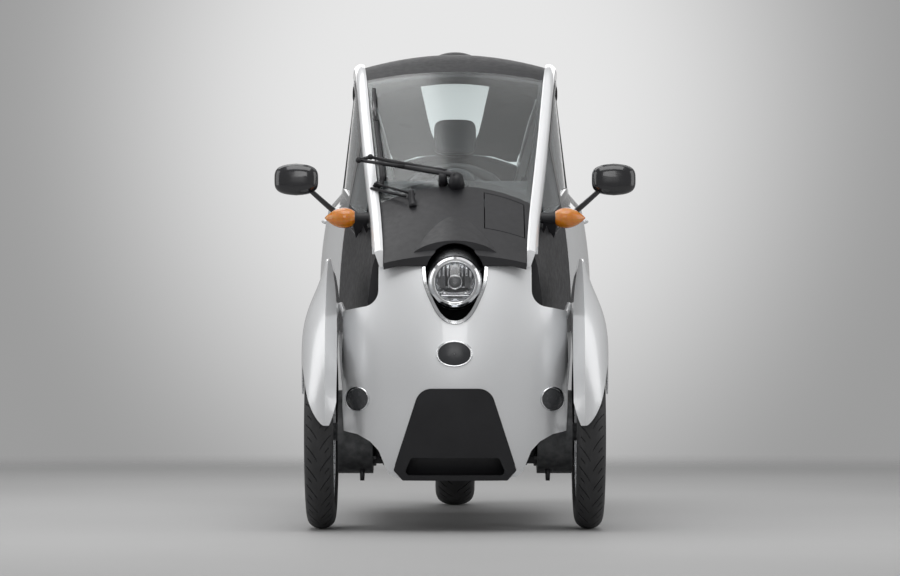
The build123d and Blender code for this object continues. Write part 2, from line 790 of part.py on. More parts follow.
def headlamp_lens():
    face_out = RING_T - LENS_BULGE - LENS_T
    outer = TangentArc((0, face_out), (HEADLAMP_LENS_R, RING_T - LENS_T), tangent=(1, 0))
    rim = Line((HEADLAMP_LENS_R, RING_T - LENS_T), (HEADLAMP_LENS_R, RING_T))
    inner = TangentArc((0, RING_T - LENS_BULGE), (HEADLAMP_LENS_R, RING_T), tangent=(1, 0))
    axis = Line((0, RING_T - LENS_BULGE), (0, face_out))
    lens = revolve(make_face(Wire([outer, rim, inner, axis])), Axis.Y)
    return Pos(0, at(HEADLAMP_FRONT), HEADLAMP_Z) * lens


# ------------------------------------------------------------------ cowl, side panels, tail
def charge_lid_cut(grow):
    """The lid's outline seen from above."""
    low = (LID_X - LID_W / 2 - grow, LID_X + LID_W / 2 + grow)
    return block(*low, LID_D - LID_L / 2 - grow, LID_D + LID_L / 2 + grow, NOSE_TOP_Z, BIG / 2)


def cowl_skin():
    return top_band(COWL_FRONT, COWL_END, COWL_T)


def hood_form():
    """The wide raised hood over the headlamp, as a solid."""

    def ring(d, z, half_w, height):
        across = Plane(origin=(0, at(d), z), x_dir=(1, 0, 0), z_dir=(0, 1, 0))
        return across * Ellipse(half_w, height).face()

    front = ring(HOOD_FRONT, COWL_LIP_Z, HOOD_FRONT_W, HOOD_FRONT_H)
    back = ring(HOOD_BACK, HOOD_BACK_Z, HOOD_BACK_W, HOOD_BACK_H)
    return loft([front, back])


def lamp_room():
    """The space round the headlamp under the hood."""
    back = (HOOD_BACK - HOOD_WALL, LAMP_ROOM_BACK_Z, LAMP_ROOM_BACK_R)
    room = lamp_tunnel(HOOD_FRONT - HOOD_WALL, LAMP_ROOM_FRONT_Z, LAMP_ROOM_FRONT_R, *back)
    return room + lamp_disc(LAMP_ROOM_FRONT_R, 0, LAMP_ROOM_FRONT_Z, HEADLAMP_FRONT, HOOD_FRONT)


def cowl_panel():
    skirt = top_band(COWL_FRONT, COWL_FRONT + COWL_T, COWL_SKIRT) & slab(COWL_FRONT, 0, COWL_LIP_Z)
    hood = hood_form() & slab(HOOD_FRONT, HOOD_BACK, COWL_LIP_Z)
    return cowl_skin() + skirt + hood - lamp_room() - charge_lid_cut(LID_GAP)


def charge_lid():
    return cowl_skin() & charge_lid_cut(0.0)


def recess_panel():
    """The dark inset side panel and the bulkhead that closes its front end."""
    side = flank_band(RECESS_FRONT, DOOR_FRONT - DOOR_GAP / 2, PANEL_T, RECESS_LOW_Z)
    bulkhead = flank_band(RECESS_FRONT, RECESS_FRONT + PANEL_T, BULKHEAD_W, RECESS_LOW_Z)
    return (side + bulkhead) - hoop() - nose_skin(NOSE_T + TRIM_GAP, TRIM_GAP)


def quarter_glass():
    pane = window_band(QUARTER_GLASS_FRONT, DOOR_FRONT - DOOR_GAP / 2, GLASS_T, lift=SEAL_GAP)
    return pane - hoop() - recess_panel()


def rear_quarter():
    return flank_band(DOOR_REAR + DOOR_GAP / 2, TAIL_ROW.d, PANEL_T)


def rear_side_glass():
    front = DOOR_REAR + DOOR_GAP / 2
    pane = window_band(front, REAR_WINDOW_END - SEAL_GAP, GLASS_T, lift=SEAL_GAP)
    return pane - hoop() - rear_quarter()


def tail_shoulder():
    return window_band(REAR_WINDOW_END, TAIL_ROW.d, PANEL_T, lift=3 * SEAL_GAP) - hoop() - rear_quarter()


def tail_lamp_outline(grow):
    """The right lamp, drawn through the tail panel."""
    across = (LAMP_IN_X - grow, LAMP_OUT_X + grow)
    return block(*across, TAIL_D, REAR_END + CUT_REACH, LAMP_LOW_Z - grow, LAMP_TOP_Z + grow)


def tail_outline():
    last = TAIL_ROW
    points = [
        (last.rail_w, last.rail_z),
        (last.belt_w, last.belt_z),
        (last.waist_w, (last.belt_z + last.sill_z) / 2),
        (last.sill_w, last.sill_z),
    ]
    return front_prism(mirrored_points(points), TAIL_FILLET, TAIL_D + SEAL_GAP, REAR_END)


def tail_panel():
    return tail_outline() - both_sides(tail_lamp_outline(TRIM_GAP))


def tail_lamps():
    return both_sides(tail_outline() & tail_lamp_outline(0.0))


# ------------------------------------------------------------------ doors
def door_opening(grow):
    """The window hole in a door, cut right through its frame."""
    front = DOOR_FRONT + FRAME_BAR - grow
    rear = DOOR_REAR - FRAME_BAR + grow
    edge = FRAME_BAR / 2 - grow
    return window_band(front, rear, 3 * DOOR_T, lift=edge, drop=DOOR_TOP_GAP + edge, proud=DOOR_T)


def door_panel():
    front = DOOR_FRONT + DOOR_GAP / 2
    rear = DOOR_REAR - DOOR_GAP / 2
    lower = flank_band(front, rear, DOOR_T)
    frame = window_band(front, rear, DOOR_FRAME_T, lift=-DOOR_LAP, drop=DOOR_TOP_GAP)
    return lower + (frame - door_opening(0.0))


def door_glass():
    pane = window_band(DOOR_FRONT, DOOR_REAR, GLASS_T, proud=-DOOR_GLASS_INSET)
    return pane & door_opening(-SEAL_GAP)


# ------------------------------------------------------------------ tub, battery, dashboard, seats
def floor_tub():
    """The floor with its sills, the front well, the rear wall and deck, and the steps under the seats."""
    floor_top = TUB_LOW_Z + TUB_FLOOR_T
    wide = block(-TUB_HALF_W, TUB_HALF_W, TUB_WIDE_FRONT, TUB_REAR, TUB_LOW_Z, TUB_SILL_Z)
    inside_w = TUB_HALF_W - TUB_SILL_W
    wide -= block(-inside_w, inside_w, TUB_WIDE_FRONT, TUB_REAR - TUB_WALL, floor_top, BIG)
    well = block(-WELL_HALF_W, WELL_HALF_W, WELL_FRONT, TUB_WIDE_FRONT, TUB_LOW_Z, WELL_TOP_Z)
    well_w = WELL_HALF_W - TUB_WALL
    well -= block(-well_w, well_w, WELL_FRONT + TUB_WALL, TUB_WIDE_FRONT, floor_top, BIG)
    rear_w = REAR_WALL_HALF_W
    deck_front = TUB_REAR - TUB_WALL
    rear_wall = block(-rear_w, rear_w, deck_front, TUB_REAR, TUB_LOW_Z, REAR_DECK_Z)
    rear_deck = block(-rear_w, rear_w, deck_front, REAR_DECK_END, REAR_DECK_Z - TUB_FLOOR_T, REAR_DECK_Z)
    rear_step = seat_box(REAR_STEP_FRONT, deck_front, REAR_SEAT_Z - TUB_WALL, 0.0)
    pedestal = seat_box(PEDESTAL_FRONT, PEDESTAL_REAR, SEAT_REST_Z, TUB_WALL)
    return wide + well + rear_wall + rear_deck + rear_step + pedestal


def seat_box(front, rear, top_z, rear_wall):
    """A hollow box on the floor that carries a seat."""
    floor_top = TUB_LOW_Z + TUB_FLOOR_T
    outer = block(-PEDESTAL_HALF_W, PEDESTAL_HALF_W, front, rear, floor_top, top_z)
    inner_w = PEDESTAL_HALF_W - TUB_WALL
    return outer - block(-inner_w, inner_w, front + TUB_WALL, rear - rear_wall, floor_top, top_z - TUB_WALL)


def battery_block():
    inset = TUB_WALL + BATTERY_GAP
    half_w = PEDESTAL_HALF_W - inset
    floor_top = TUB_LOW_Z + TUB_FLOOR_T
    front, rear = PEDESTAL_FRONT + inset, PEDESTAL_REAR - inset
    return block(-half_w, half_w, front, rear, floor_top, floor_top + BATTERY_H)


def dashboard():
    return side_prism(DASH_POINTS, DASH_FILLET, -DASH_HALF_W, DASH_HALF_W)


def steering_frame():
    """The plane of the steering wheel, with its normal along the column towards the driver."""
    lean = math.radians(STEERING_LEAN)
    normal = (0, math.cos(lean), math.sin(lean))
    return Plane(origin=(0, at(STEERING_D), STEERING_Z), x_dir=(1, 0, 0), z_dir=normal)


def steering_wheel():
    rim_ring = Torus(STEERING_R, STEERING_RIM_R)
    hub = Cylinder(STEERING_HUB_R, STEERING_HUB_T)
    arm = Pos(STEERING_R / 2, 0, 0) * Box(STEERING_R, STEERING_ARM_W, STEERING_ARM_T)
    arms = [Rot(0, 0, turn) * arm for turn in STEERING_ARM_TURNS]
    socket = Pos(0, 0, -STEERING_HUB_T / 2) * Cylinder(COLUMN_PIN_R + RUNNING_GAP, STEERING_HUB_T)
    return steering_frame() * (rim_ring + hub + arms - socket)


def steering_column():
    sleeve_top = -STEERING_HUB_T / 2 - COLUMN_GAP
    sleeve = Pos(0, 0, sleeve_top - COLUMN_LENGTH / 2) * Cylinder(COLUMN_R, COLUMN_LENGTH)
    pin = Pos(0, 0, sleeve_top + COLUMN_PIN_L / 2) * Cylinder(COLUMN_PIN_R, COLUMN_PIN_L)
    return steering_frame() * (sleeve + pin) - dashboard()


def seat(front_d, rest_z, length, back_low_z, back_top_d, back_top_z, half_w):
    """A cushion and its reclined back as one soft piece."""
    cushion_z = rest_z + SEAT_T
    points = [
        (front_d, rest_z),
        (front_d, cushion_z - SEAT_DROP),
        (front_d + SEAT_ROLL_D, cushion_z),
        (front_d + length - SEAT_T, cushion_z - SEAT_DROP),
        (back_top_d - SEAT_T * SEAT_BACK_SHARE, back_top_z - SEAT_TOP_DROP),
        (back_top_d - SEAT_TOP_FRONT, back_top_z),
        (back_top_d + SEAT_TOP_REAR, back_top_z - SEAT_TOP_REAR),
        (front_d + length, back_low_z),
        (front_d + length, rest_z),
    ]
    return side_prism(points, SEAT_FILLET, -half_w, half_w)


def headrest():
    front, rear = HEADREST_D - HEADREST_T / 2, HEADREST_D + HEADREST_T / 2
    low_z = FRONT_BACK_TOP_Z - HEADREST_LAP
    points = [(front, low_z), (front, HEADREST_TOP_Z), (rear, HEADREST_TOP_Z), (rear, low_z)]
    return side_prism(points, SEAT_FILLET, -HEADREST_HALF_W, HEADREST_HALF_W)


def front_seat():
    back_top = (FRONT_BACK_TOP_D, FRONT_BACK_TOP_Z)
    rest_z = SEAT_REST_Z + SOFT_GAP
    return headrest() + seat(FRONT_SEAT_D, rest_z, FRONT_SEAT_L, SEAT_REST_Z + SEAT_T, *back_top, SEAT_HALF_W)


def rear_seat():
    back_top = (REAR_BACK_TOP_D, REAR_BACK_TOP_Z)
    rest_z = REAR_SEAT_Z + SOFT_GAP
    return seat(REAR_SEAT_D, rest_z, REAR_SEAT_L, REAR_DECK_Z + SOFT_GAP, *back_top, REAR_SEAT_HALF_W)


# ------------------------------------------------------------------ mirrors, turn signals, wiper, fin
def mirror_shell():
    shell = Box(MIRROR_W, MIRROR_DEPTH, MIRROR_H)
    shell = fillet(shell.edges().filter_by(Axis.Y), MIRROR_CORNER)
    front = shell.faces().sort_by(Axis.Y)[0]
    shell = fillet(front.edges(), MIRROR_ROUND)
    return Pos(MIRROR_X, at(MIRROR_D), MIRROR_Z) * shell


def mirror_assembly():
    head = (MIRROR_STALK_X, at(MIRROR_D), MIRROR_STALK_Z)
    stalk = rod(head, (STALK_FOOT_X, at(STALK_FOOT_D), STALK_FOOT_Z), STALK_R)
    return mirror_shell() + (stalk - recess_panel())


def signal_lens():
    """A drop-shaped lens turned about an axis across the car."""
    base = (SIGNAL_X, SIGNAL_BASE_R)
    tip = (SIGNAL_X + SIGNAL_L, 0)
    control = [(SIGNAL_X + SIGNAL_L * share, radius) for share, radius in SIGNAL_CONTROL]
    profile = Wire([Line((SIGNAL_X, 0), base), Bezier(base, *control, tip), Line(tip, (SIGNAL_X, 0))])
    return Pos(0, at(SIGNAL_D), SIGNAL_Z) * revolve(make_face(profile), Axis.X)


def signal_stalk():
    foot = (RECESS_REACH_X, at(SIGNAL_D), SIGNAL_Z)
    return rod(foot, (SIGNAL_X, at(SIGNAL_D), SIGNAL_Z), SIGNAL_STALK_R) - recess_panel() - hoop()


def screen_point(x, d, lift):
    """A point above the windscreen's straight line from base to head."""
    base, head = COWL_ROW, SCREEN_TOP_ROW
    share = (d - base.d) / (head.d - base.d)
    crown = base.crown_z + share * (head.crown_z - base.crown_z)
    rail = base.rail_z + share * (head.rail_z - base.rail_z)
    half_w = base.rail_w + share * (head.rail_w - base.rail_w)
    sag = (crown - rail) * (x / half_w) ** 2
    return (x, at(d), crown - sag + lift)


def wiper():
    """Twin parallel arms from two pivots on the cowl, with the blade up the screen's left side."""
    pieces = []
    for arm in WIPER_ARMS:
        pivot = screen_point(arm.pivot_x, arm.pivot_d, WIPER_LIFT)
        knee = screen_point(arm.knee_x, arm.knee_d, WIPER_KNEE_LIFT)
        pieces.append(rod(pivot, knee, WIPER_ARM_R))
    foot = screen_point(0, WIPER_PIVOT_D, WIPER_BOSS_LOW)
    boss = rod(foot, screen_point(0, WIPER_PIVOT_D, WIPER_BOSS_TOP), WIPER_BOSS_R) - cowl_panel()
    blade_low = screen_point(WIPER_BLADE_LOW_X, WIPER_BLADE_LOW_D, WIPER_LIFT)
    blade_high = screen_point(WIPER_BLADE_HIGH_X, WIPER_BLADE_HIGH_D, WIPER_LIFT)
    return (boss + pieces + rod(blade_low, blade_high, WIPER_BLADE_R)) - windscreen()


def roof_fin():
    """A low dome on the roof."""
    dome = scale(Sphere(1.0), by=(FIN_HALF_W, FIN_HALF_L, FIN_H))
    above = Pos(0, 0, FIN_H) * Box(2 * FIN_HALF_W, 2 * FIN_HALF_L, 2 * FIN_H)
    return Pos(0, at(FIN_D), FIN_Z) * (dome & above)


# ------------------------------------------------------------------ wheels
def wheel_plane(x, d, z):
    """A frame whose Z runs out along +X."""
    return Plane(origin=(x, at(d), z), x_dir=(0, 1, 0), z_dir=(1, 0, 0))


def tyre(tyre_r, width, bead_r):
    """A rounded tyre about the local Z axis, open on its inner side for the rim."""
    half = width / 2
    bead_half = half - BEAD_INSET
    shoulder_r = tyre_r - TYRE_CROWN - half * SHOULDER_SHARE
    wall_r = (shoulder_r + bead_r) / 2
    wall_half = half - WALL_DIP
    profile = Wire([
        ThreePointArc((shoulder_r, -half), (tyre_r, 0), (shoulder_r, half)),
        ThreePointArc((shoulder_r, half), (wall_r, wall_half), (bead_r, bead_half)),
        Line((bead_r, bead_half), (bead_r, -bead_half)),
        ThreePointArc((bead_r, -bead_half), (wall_r, -wall_half), (shoulder_r, -half)),
    ])
    return revolve(Plane.XZ * make_face(profile), Axis.Z)


def rim(bead_r, width, hub_w):
    """A barrel, ten spokes and a bored hub about the local Z axis."""
    seat_r = bead_r - RIM_SEAT_GAP
    barrel_half = width / 2 - BEAD_INSET
    barrel = Cylinder(seat_r, 2 * barrel_half) - Cylinder(seat_r - RIM_WALL, 2 * width)
    hub = Cylinder(HUB_R, hub_w)
    reach = seat_r - RIM_WALL / 2 - HUB_R / 2
    middle = HUB_R / 2 + reach / 2
    spoke = Pos(middle, 0, 0) * Box(reach, SPOKE_W, SPOKE_T)
    spokes = [Rot(0, 0, 360 / SPOKE_COUNT * i) * spoke for i in range(SPOKE_COUNT)]
    return (barrel + hub + spokes) - Cylinder(AXLE_R + RUNNING_GAP, width)


def front_wheel_place(side):
    return wheel_plane(side * FRONT_TRACK_HALF, 0, FRONT_TYRE_R)


def rear_wheel_place():
    return wheel_plane(0, WHEELBASE, REAR_TYRE_R)


# ------------------------------------------------------------------ front knuckle, arms, fender
KNUCKLE_OUT_X = FRONT_TRACK_HALF - FRONT_TYRE_W / 2 - WHEEL_SIDE_GAP - KNUCKLE_GAP
KNUCKLE_IN_X = KNUCKLE_OUT_X - MOTOR_W


def axle_disc(x_low, x_high, radius):
    """A disc about the front axle, between two places across the car."""
    return wheel_plane((x_low + x_high) / 2, 0, FRONT_TYRE_R) * Cylinder(radius, x_high - x_low)


def front_knuckle():
    """The hub motor with its axle, and the upright that the two arms hold."""
    hub_face = FRONT_TRACK_HALF - FRONT_HUB_W / 2 - HUB_FACE_GAP
    axle_end = FRONT_TRACK_HALF + FRONT_HUB_W / 2 + HUB_FACE_GAP
    drum = axle_disc(KNUCKLE_IN_X, KNUCKLE_OUT_X, MOTOR_R)
    boss = axle_disc(KNUCKLE_OUT_X, hub_face, AXLE_R + BOSS_WALL)
    axle = axle_disc(KNUCKLE_OUT_X, axle_end, AXLE_R)
    nut = axle_disc(axle_end, axle_end + NUT_T, AXLE_R + NUT_WALL)
    across = (KNUCKLE_IN_X, KNUCKLE_IN_X + UPRIGHT_T)
    height = (LOWER_ARM_Z - UPRIGHT_REACH, UPPER_ARM_Z + UPRIGHT_REACH)
    upright = block(*across, -UPRIGHT_W / 2, UPRIGHT_W / 2, *height)
    return drum + boss + axle + nut + upright


def front_arms():
    """The lower and the upper wishbone of the right side, each with its outer joint."""
    half_w, half_h = ARM_JOINT_W / 2, ARM_JOINT_H / 2
    arms = []
    for z in (LOWER_ARM_Z, UPPER_ARM_Z):
        joint = block(KNUCKLE_IN_X - ARM_JOINT_L, KNUCKLE_IN_X, -half_w, half_w, z - half_h, z + half_h)
        for root_d in (SUBFRAME_FRONT, SUBFRAME_REAR):
            root = (ARM_ROOT_X, at(root_d), z)
            joint += rod(root, (KNUCKLE_IN_X - ARM_LAP, at(0), z), ARM_R)
        arms.append(joint)
    return arms[0] + arms[1]


def subframe():
    """A cage of square tubes that carries the arms."""
    half = SUBFRAME_TUBE / 2
    front, rear = SUBFRAME_FRONT - half, SUBFRAME_REAR + half
    pieces = []
    for z in (LOWER_ARM_Z, UPPER_ARM_Z):
        for d in (SUBFRAME_FRONT, SUBFRAME_REAR):
            pieces.append(block(-ARM_ROOT_X, ARM_ROOT_X, d - half, d + half, z - half, z + half))
        for x in (-ARM_ROOT_X, ARM_ROOT_X):
            pieces.append(block(x - half, x + half, front, rear, z - half, z + half))
    for x in (-ARM_ROOT_X, ARM_ROOT_X):
        for d in (SUBFRAME_FRONT, SUBFRAME_REAR):
            pieces.append(block(x - half, x + half, d - half, d + half, LOWER_ARM_Z, UPPER_ARM_Z))
    return pieces[0] + pieces[1:]


def front_suspension():
    return subframe() + both_sides(front_arms())


def fender_leaf(inset):
    """The blade's form as a solid, drawn in by inset all round."""

    def section(row):
        z = row.z + inset * row.end_shift
        front = at(row.front) + inset
        back = at(row.back) - inset
        x_in = row.inner + inset
        x_out = row.outer - inset
        turn = (back - front) * FENDER_TURN
        ridge = (FENDER_RIDGE_X, front, z)
        inner_turn = (x_in, front + turn * FENDER_INNER_TURN, z)
        outer_turn = (x_out, front + turn, z)
        bulge_x = FENDER_RIDGE_X + (x_out - FENDER_RIDGE_X) * FENDER_BULGE_X
        outer_mid = (bulge_x, front + turn * FENDER_BULGE_D, z)
        return Face(Wire([
            Line(inner_turn, ridge),
            ThreePointArc(ridge, outer_mid, outer_turn),
            Line(outer_turn, (x_out, back, z)),
            Line((x_out, back, z), (x_in, back, z)),
            Line((x_in, back, z), inner_turn),
        ]))

    return loft_rows(section, FENDER_ROWS)


def front_fender():
    x_low = FENDER_IN_X - CUT_REACH
    x_high = FENDER_OUT_X - FENDER_WALL
    tyre_room = axle_disc(x_low, x_high, FRONT_TYRE_R + FENDER_TYRE_GAP)
    return fender_leaf(0.0) - tyre_room - fender_leaf(FENDER_WALL)


def fender_stay():
    foot = (KNUCKLE_IN_X + STAY_FOOT_IN, at(0), UPPER_ARM_Z + STAY_FOOT_UP)
    return rod(foot, (STAY_HEAD_X, at(STAY_HEAD_D), STAY_HEAD_Z), STAY_R) - front_knuckle()


# ------------------------------------------------------------------ rear frame and steered fork
def rear_frame():
    """The beam and steering head over the rear wheel, with a bar back to the tail."""
    low, top = STEER_HEAD_Z, STEER_HEAD_Z + STEER_HEAD_H
    centre = Pos(0, at(WHEELBASE), (low + top) / 2)
    tube = centre * Cylinder(STEER_HEAD_R, STEER_HEAD_H)
    beam = block(-STEER_HEAD_R, STEER_HEAD_R, TUB_REAR, WHEELBASE, low, top)
    cross_half = FORK_ROW.waist_w - REAR_CROSS_IN
    cross_d = (WHEELBASE - REAR_CROSS_FRONT, WHEELBASE - REAR_CROSS_REAR)
    cross = block(-cross_half, cross_half, *cross_d, low, top)
    bore = centre * Cylinder(STEER_PIN_R + RUNNING_GAP, 2 * STEER_HEAD_H)
    tail_bar = block(-TAIL_BAR_HALF_W, TAIL_BAR_HALF_W, WHEELBASE, TAIL_D, low + TAIL_BAR_UP, top)
    return (tube + beam + cross + tail_bar) - bore


def rear_fork():
    top = STEER_HEAD_Z - FORK_HEAD_GAP
    low = REAR_TYRE_R * 2 + FORK_TOP_GAP
    crown_d = (WHEELBASE - FORK_CROWN_HALF_L, WHEELBASE + FORK_CROWN_HALF_L)
    leg_d = (WHEELBASE - FORK_LEG_HALF_L, WHEELBASE + FORK_LEG_HALF_L)
    crown = block(-FORK_OUT_X, FORK_OUT_X, *crown_d, low, top)
    leg = block(FORK_OUT_X - FORK_LEG_T, FORK_OUT_X, *leg_d, REAR_TYRE_R - FORK_LEG_LOW, top)
    pin = Pos(0, at(WHEELBASE), top + STEER_PIN_L / 2) * Cylinder(STEER_PIN_R, STEER_PIN_L)
    axle = wheel_plane(0, WHEELBASE, REAR_TYRE_R) * Cylinder(AXLE_R, 2 * (FORK_OUT_X - FORK_AXLE_IN))
    return crown + both_sides(leg) + pin + axle


def plate_holder():
    rear = PLATE_D + PLATE_T
    hanger_top = STEER_HEAD_Z + HANGER_TOP
    plate = block(-PLATE_HALF_W, PLATE_HALF_W, PLATE_D, rear, PLATE_LOW_Z, PLATE_LOW_Z + PLATE_H)
    arm = block(-PLATE_ARM_HALF_W, PLATE_ARM_HALF_W, PLATE_D, rear, PLATE_LOW_Z, hanger_top)
    hanger_d = (PLATE_D, TAIL_D - HANGER_GAP)
    hanger = block(-PLATE_ARM_HALF_W, PLATE_ARM_HALF_W, *hanger_d, hanger_top - HANGER_T, hanger_top)
    hole_d = (PLATE_D - CUT_REACH, rear + CUT_REACH)
    hole_z = PLATE_LOW_Z + PLATE_H / 2
    holes = [lamp_disc(PLATE_HOLE_R, x, hole_z, *hole_d) for x in (-PLATE_HOLE_X, PLATE_HOLE_X)]
    return plate + arm + hanger - holes


def together(*shapes):
    """Separate pieces that belong to one node."""
    return Compound([solid for shape in shapes for solid in shape.solids()])


if __name__ == "__main__":
    os.makedirs("parts", exist_ok=True)
    left, right = -1, 1
    nodes = {
        "nose_panel": nose_panel(),
        "lower_intake": lower_intake(),
        "shield_trim": shield_trim(),
        "round_lamp_covers": round_lamp_covers(),
        "headlamp_housing": headlamp_housing(),
        "headlamp_ring": headlamp_ring(),
        "headlamp_lens": headlamp_lens(),
        "cowl_panel": cowl_panel(),
        "charge_lid": charge_lid(),
        "windscreen": windscreen(),
        "roof_panel": roof_panel(),
        "rear_window": rear_window(),
        "tail_deck": together(tail_deck(), both_sides(tail_shoulder())),
        "roof_hoops": both_sides(hoop()),
        "side_recess_panels": both_sides(recess_panel()),
        "side_glasses": together(both_sides(quarter_glass()), both_sides(rear_side_glass())),
        "rear_quarters": both_sides(rear_quarter()),
        "tail_panel": tail_panel(),
        "tail_lamps": tail_lamps(),
        "floor_tub": floor_tub(),
        "battery_block": battery_block(),
        "dashboard": dashboard(),
        "steering_column": steering_column(),
        "steering_wheel": steering_wheel(),
        "front_seat": front_seat(),
        "rear_seat": rear_seat(),
        "mirrors_and_stalks": together(both_sides(mirror_assembly()), both_sides(signal_stalk())),
        "turn_signal_lenses": both_sides(signal_lens()),
        "wiper": wiper(),
        "front_suspension": front_suspension(),
        "front_knuckles": both_sides(front_knuckle()),
        "front_fenders": both_sides(front_fender() + fender_stay()),
        "rear_frame": rear_frame(),
        "rear_fork": rear_fork(),
        "plate_holder": plate_holder(),
        "rear_tyre": rear_wheel_place() * tyre(REAR_TYRE_R, REAR_TYRE_W, REAR_BEAD_R),
        "rear_rim": rear_wheel_place() * rim(REAR_BEAD_R, REAR_TYRE_W, REAR_HUB_W),
    }
    right_door = {"panel": door_panel(), "glass": door_glass()}
    for side, name in ((left, "left"), (right, "right")):
        place = front_wheel_place(side)
        nodes[f"front_tyre_{name}"] = place * tyre(FRONT_TYRE_R, FRONT_TYRE_W, FRONT_BEAD_R)
        nodes[f"front_rim_{name}"] = place * rim(FRONT_BEAD_R, FRONT_TYRE_W, FRONT_HUB_W)
        for piece, shape in right_door.items():
            own = shape if side == right else mirror(shape, about=Plane.YZ)
            nodes[f"door_{piece}_{name}"] = own
    for name, shape in nodes.items():
        export_step(shape, f"parts/{name}.step")
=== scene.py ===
"""Looks, camera and light for the narrow three-wheeled car. Metres, +Z up, the front faces -Y."""
import json
import math

import bmesh
import bpy
from mathutils import Matrix, Vector
from mathutils.bvhtree import BVHTree


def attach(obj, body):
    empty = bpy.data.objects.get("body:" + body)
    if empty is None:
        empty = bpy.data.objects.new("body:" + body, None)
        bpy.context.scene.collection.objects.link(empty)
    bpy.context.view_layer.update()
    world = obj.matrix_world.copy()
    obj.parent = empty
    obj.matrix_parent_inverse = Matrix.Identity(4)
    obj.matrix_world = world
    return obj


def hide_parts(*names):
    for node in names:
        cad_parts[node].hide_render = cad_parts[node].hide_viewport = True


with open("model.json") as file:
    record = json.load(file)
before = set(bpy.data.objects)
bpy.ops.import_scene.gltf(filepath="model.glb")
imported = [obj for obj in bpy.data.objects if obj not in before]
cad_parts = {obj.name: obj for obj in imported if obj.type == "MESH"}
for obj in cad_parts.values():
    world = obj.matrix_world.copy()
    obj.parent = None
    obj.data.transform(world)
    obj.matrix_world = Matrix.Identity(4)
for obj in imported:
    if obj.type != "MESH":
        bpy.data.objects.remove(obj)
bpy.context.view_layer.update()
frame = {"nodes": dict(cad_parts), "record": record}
NODES = frame["nodes"]


# ------------------------------------------------------------------ material helpers
class Tree:
    """A node tree, with short calls for the patterns used here."""

    def __init__(self, owner):
        owner.use_nodes = True
        self.nodes = owner.node_tree.nodes
        self.links = owner.node_tree.links

    def node(self, kind, **values):
        made = self.nodes.new(kind)
        for name, value in values.items():
            setattr(made, name, value)
        return made

    def feed(self, socket, value):
        """Puts a number, a colour or another node's output into a socket."""
        if isinstance(value, bpy.types.NodeSocket):
            self.links.new(value, socket)
        elif isinstance(value, tuple):
            socket.default_value = (*value, 1.0)
        else:
            socket.default_value = value

    def calc(self, operation, first, second):
        made = self.node("ShaderNodeMath", operation=operation)
        self.feed(made.inputs[0], first)
        self.feed(made.inputs[1], second)
        return made.outputs["Value"]

    def length(self, value):
        made = self.node("ShaderNodeVectorMath", operation="LENGTH")
        self.links.new(value, made.inputs[0])
        return made.outputs["Value"]

    def spread(self, value, low=0.0, high=1.0, start=0.3, end=0.7, curve="LINEAR"):
        """Carries start to end over to low to high."""
        made = self.node("ShaderNodeMapRange", interpolation_type=curve)
        for name, number in (("From Min", start), ("From Max", end), ("To Min", low), ("To Max", high)):
            made.inputs[name].default_value = number
        self.links.new(value, made.inputs["Value"])
        return made.outputs["Result"]

    def blend(self, share, first, second, kind="RGBA"):
        made = self.node("ShaderNodeMix", data_type=kind)
        self.links.new(share, made.inputs["Factor"])
        self.feed(made.inputs["A"], first)
        self.feed(made.inputs["B"], second)
        return made.outputs["Result"]

    def shown(self):
        """1 for what the camera sees, straight, mirrored or through glass, and 0 for other light."""
        rays = self.node("ShaderNodeLightPath").outputs
        unmirrored = self.calc("MAXIMUM", rays["Is Camera Ray"], rays["Is Transmission Ray"])
        return self.calc("MAXIMUM", unmirrored, rays["Is Glossy Ray"])


class Graph(Tree):
    """A material round one shader."""

    def __init__(self, name, colour, roughness, metallic=0.0):
        self.material = bpy.data.materials.new(name)
        super().__init__(self.material)
        self.shader = self.nodes["Principled BSDF"]
        self.set(Base_Color=(*colour, 1.0), Roughness=roughness, Metallic=metallic)
        self.place = self.node("ShaderNodeTexCoord").outputs["Object"]
        self.heights = []

    def set(self, **values):
        for name, value in values.items():
            self.shader.inputs[name.replace("_", " ")].default_value = value
        return self

    def stretched(self, scale):
        mapping = self.node("ShaderNodeMapping")
        mapping.inputs["Scale"].default_value = scale
        self.links.new(self.place, mapping.inputs["Vector"])
        return mapping.outputs["Vector"]

    def noise(self, scale, detail=3.0, stretch=(1, 1, 1)):
        made = self.node("ShaderNodeTexNoise")
        made.inputs["Scale"].default_value = scale
        made.inputs["Detail"].default_value = detail
        self.links.new(self.stretched(stretch), made.inputs["Vector"])
        return made.outputs["Fac"]

    def cells(self, scale):
        made = self.node("ShaderNodeTexVoronoi")
        made.inputs["Scale"].default_value = scale
        self.links.new(self.place, made.inputs["Vector"])
        return made.outputs["Distance"]

    def waves(self, scale, direction="X"):
        made = self.node("ShaderNodeTexWave", bands_direction=direction)
        made.inputs["Scale"].default_value = scale
        self.links.new(self.place, made.inputs["Vector"])
        return made.outputs["Fac"]

    def along(self, axis):
        """The place on one of the object's own axes."""
        apart = self.node("ShaderNodeSeparateXYZ")
        self.links.new(self.place, apart.inputs[0])
        return apart.outputs[axis]

    def base(self, value):
        self.links.new(value, self.shader.inputs["Base Color"])
        return self

    def colour(self, share, first, second):
        return self.base(self.blend(share, first, second))

    def rough(self, value, low, high):
        self.links.new(self.spread(value, low, high), self.shader.inputs["Roughness"])
        return self

    def bump(self, value, depth, strength=1.0):
        made = self.node("ShaderNodeBump")
        made.inputs["Distance"].default_value = depth
        made.inputs["Strength"].default_value = strength
        self.links.new(value, made.inputs["Height"])
        if self.heights:
            self.links.new(self.heights[-1], made.inputs["Normal"])
        self.heights.append(made.outputs["Normal"])
        self.links.new(made.outputs["Normal"], self.shader.inputs["Normal"])
        return self


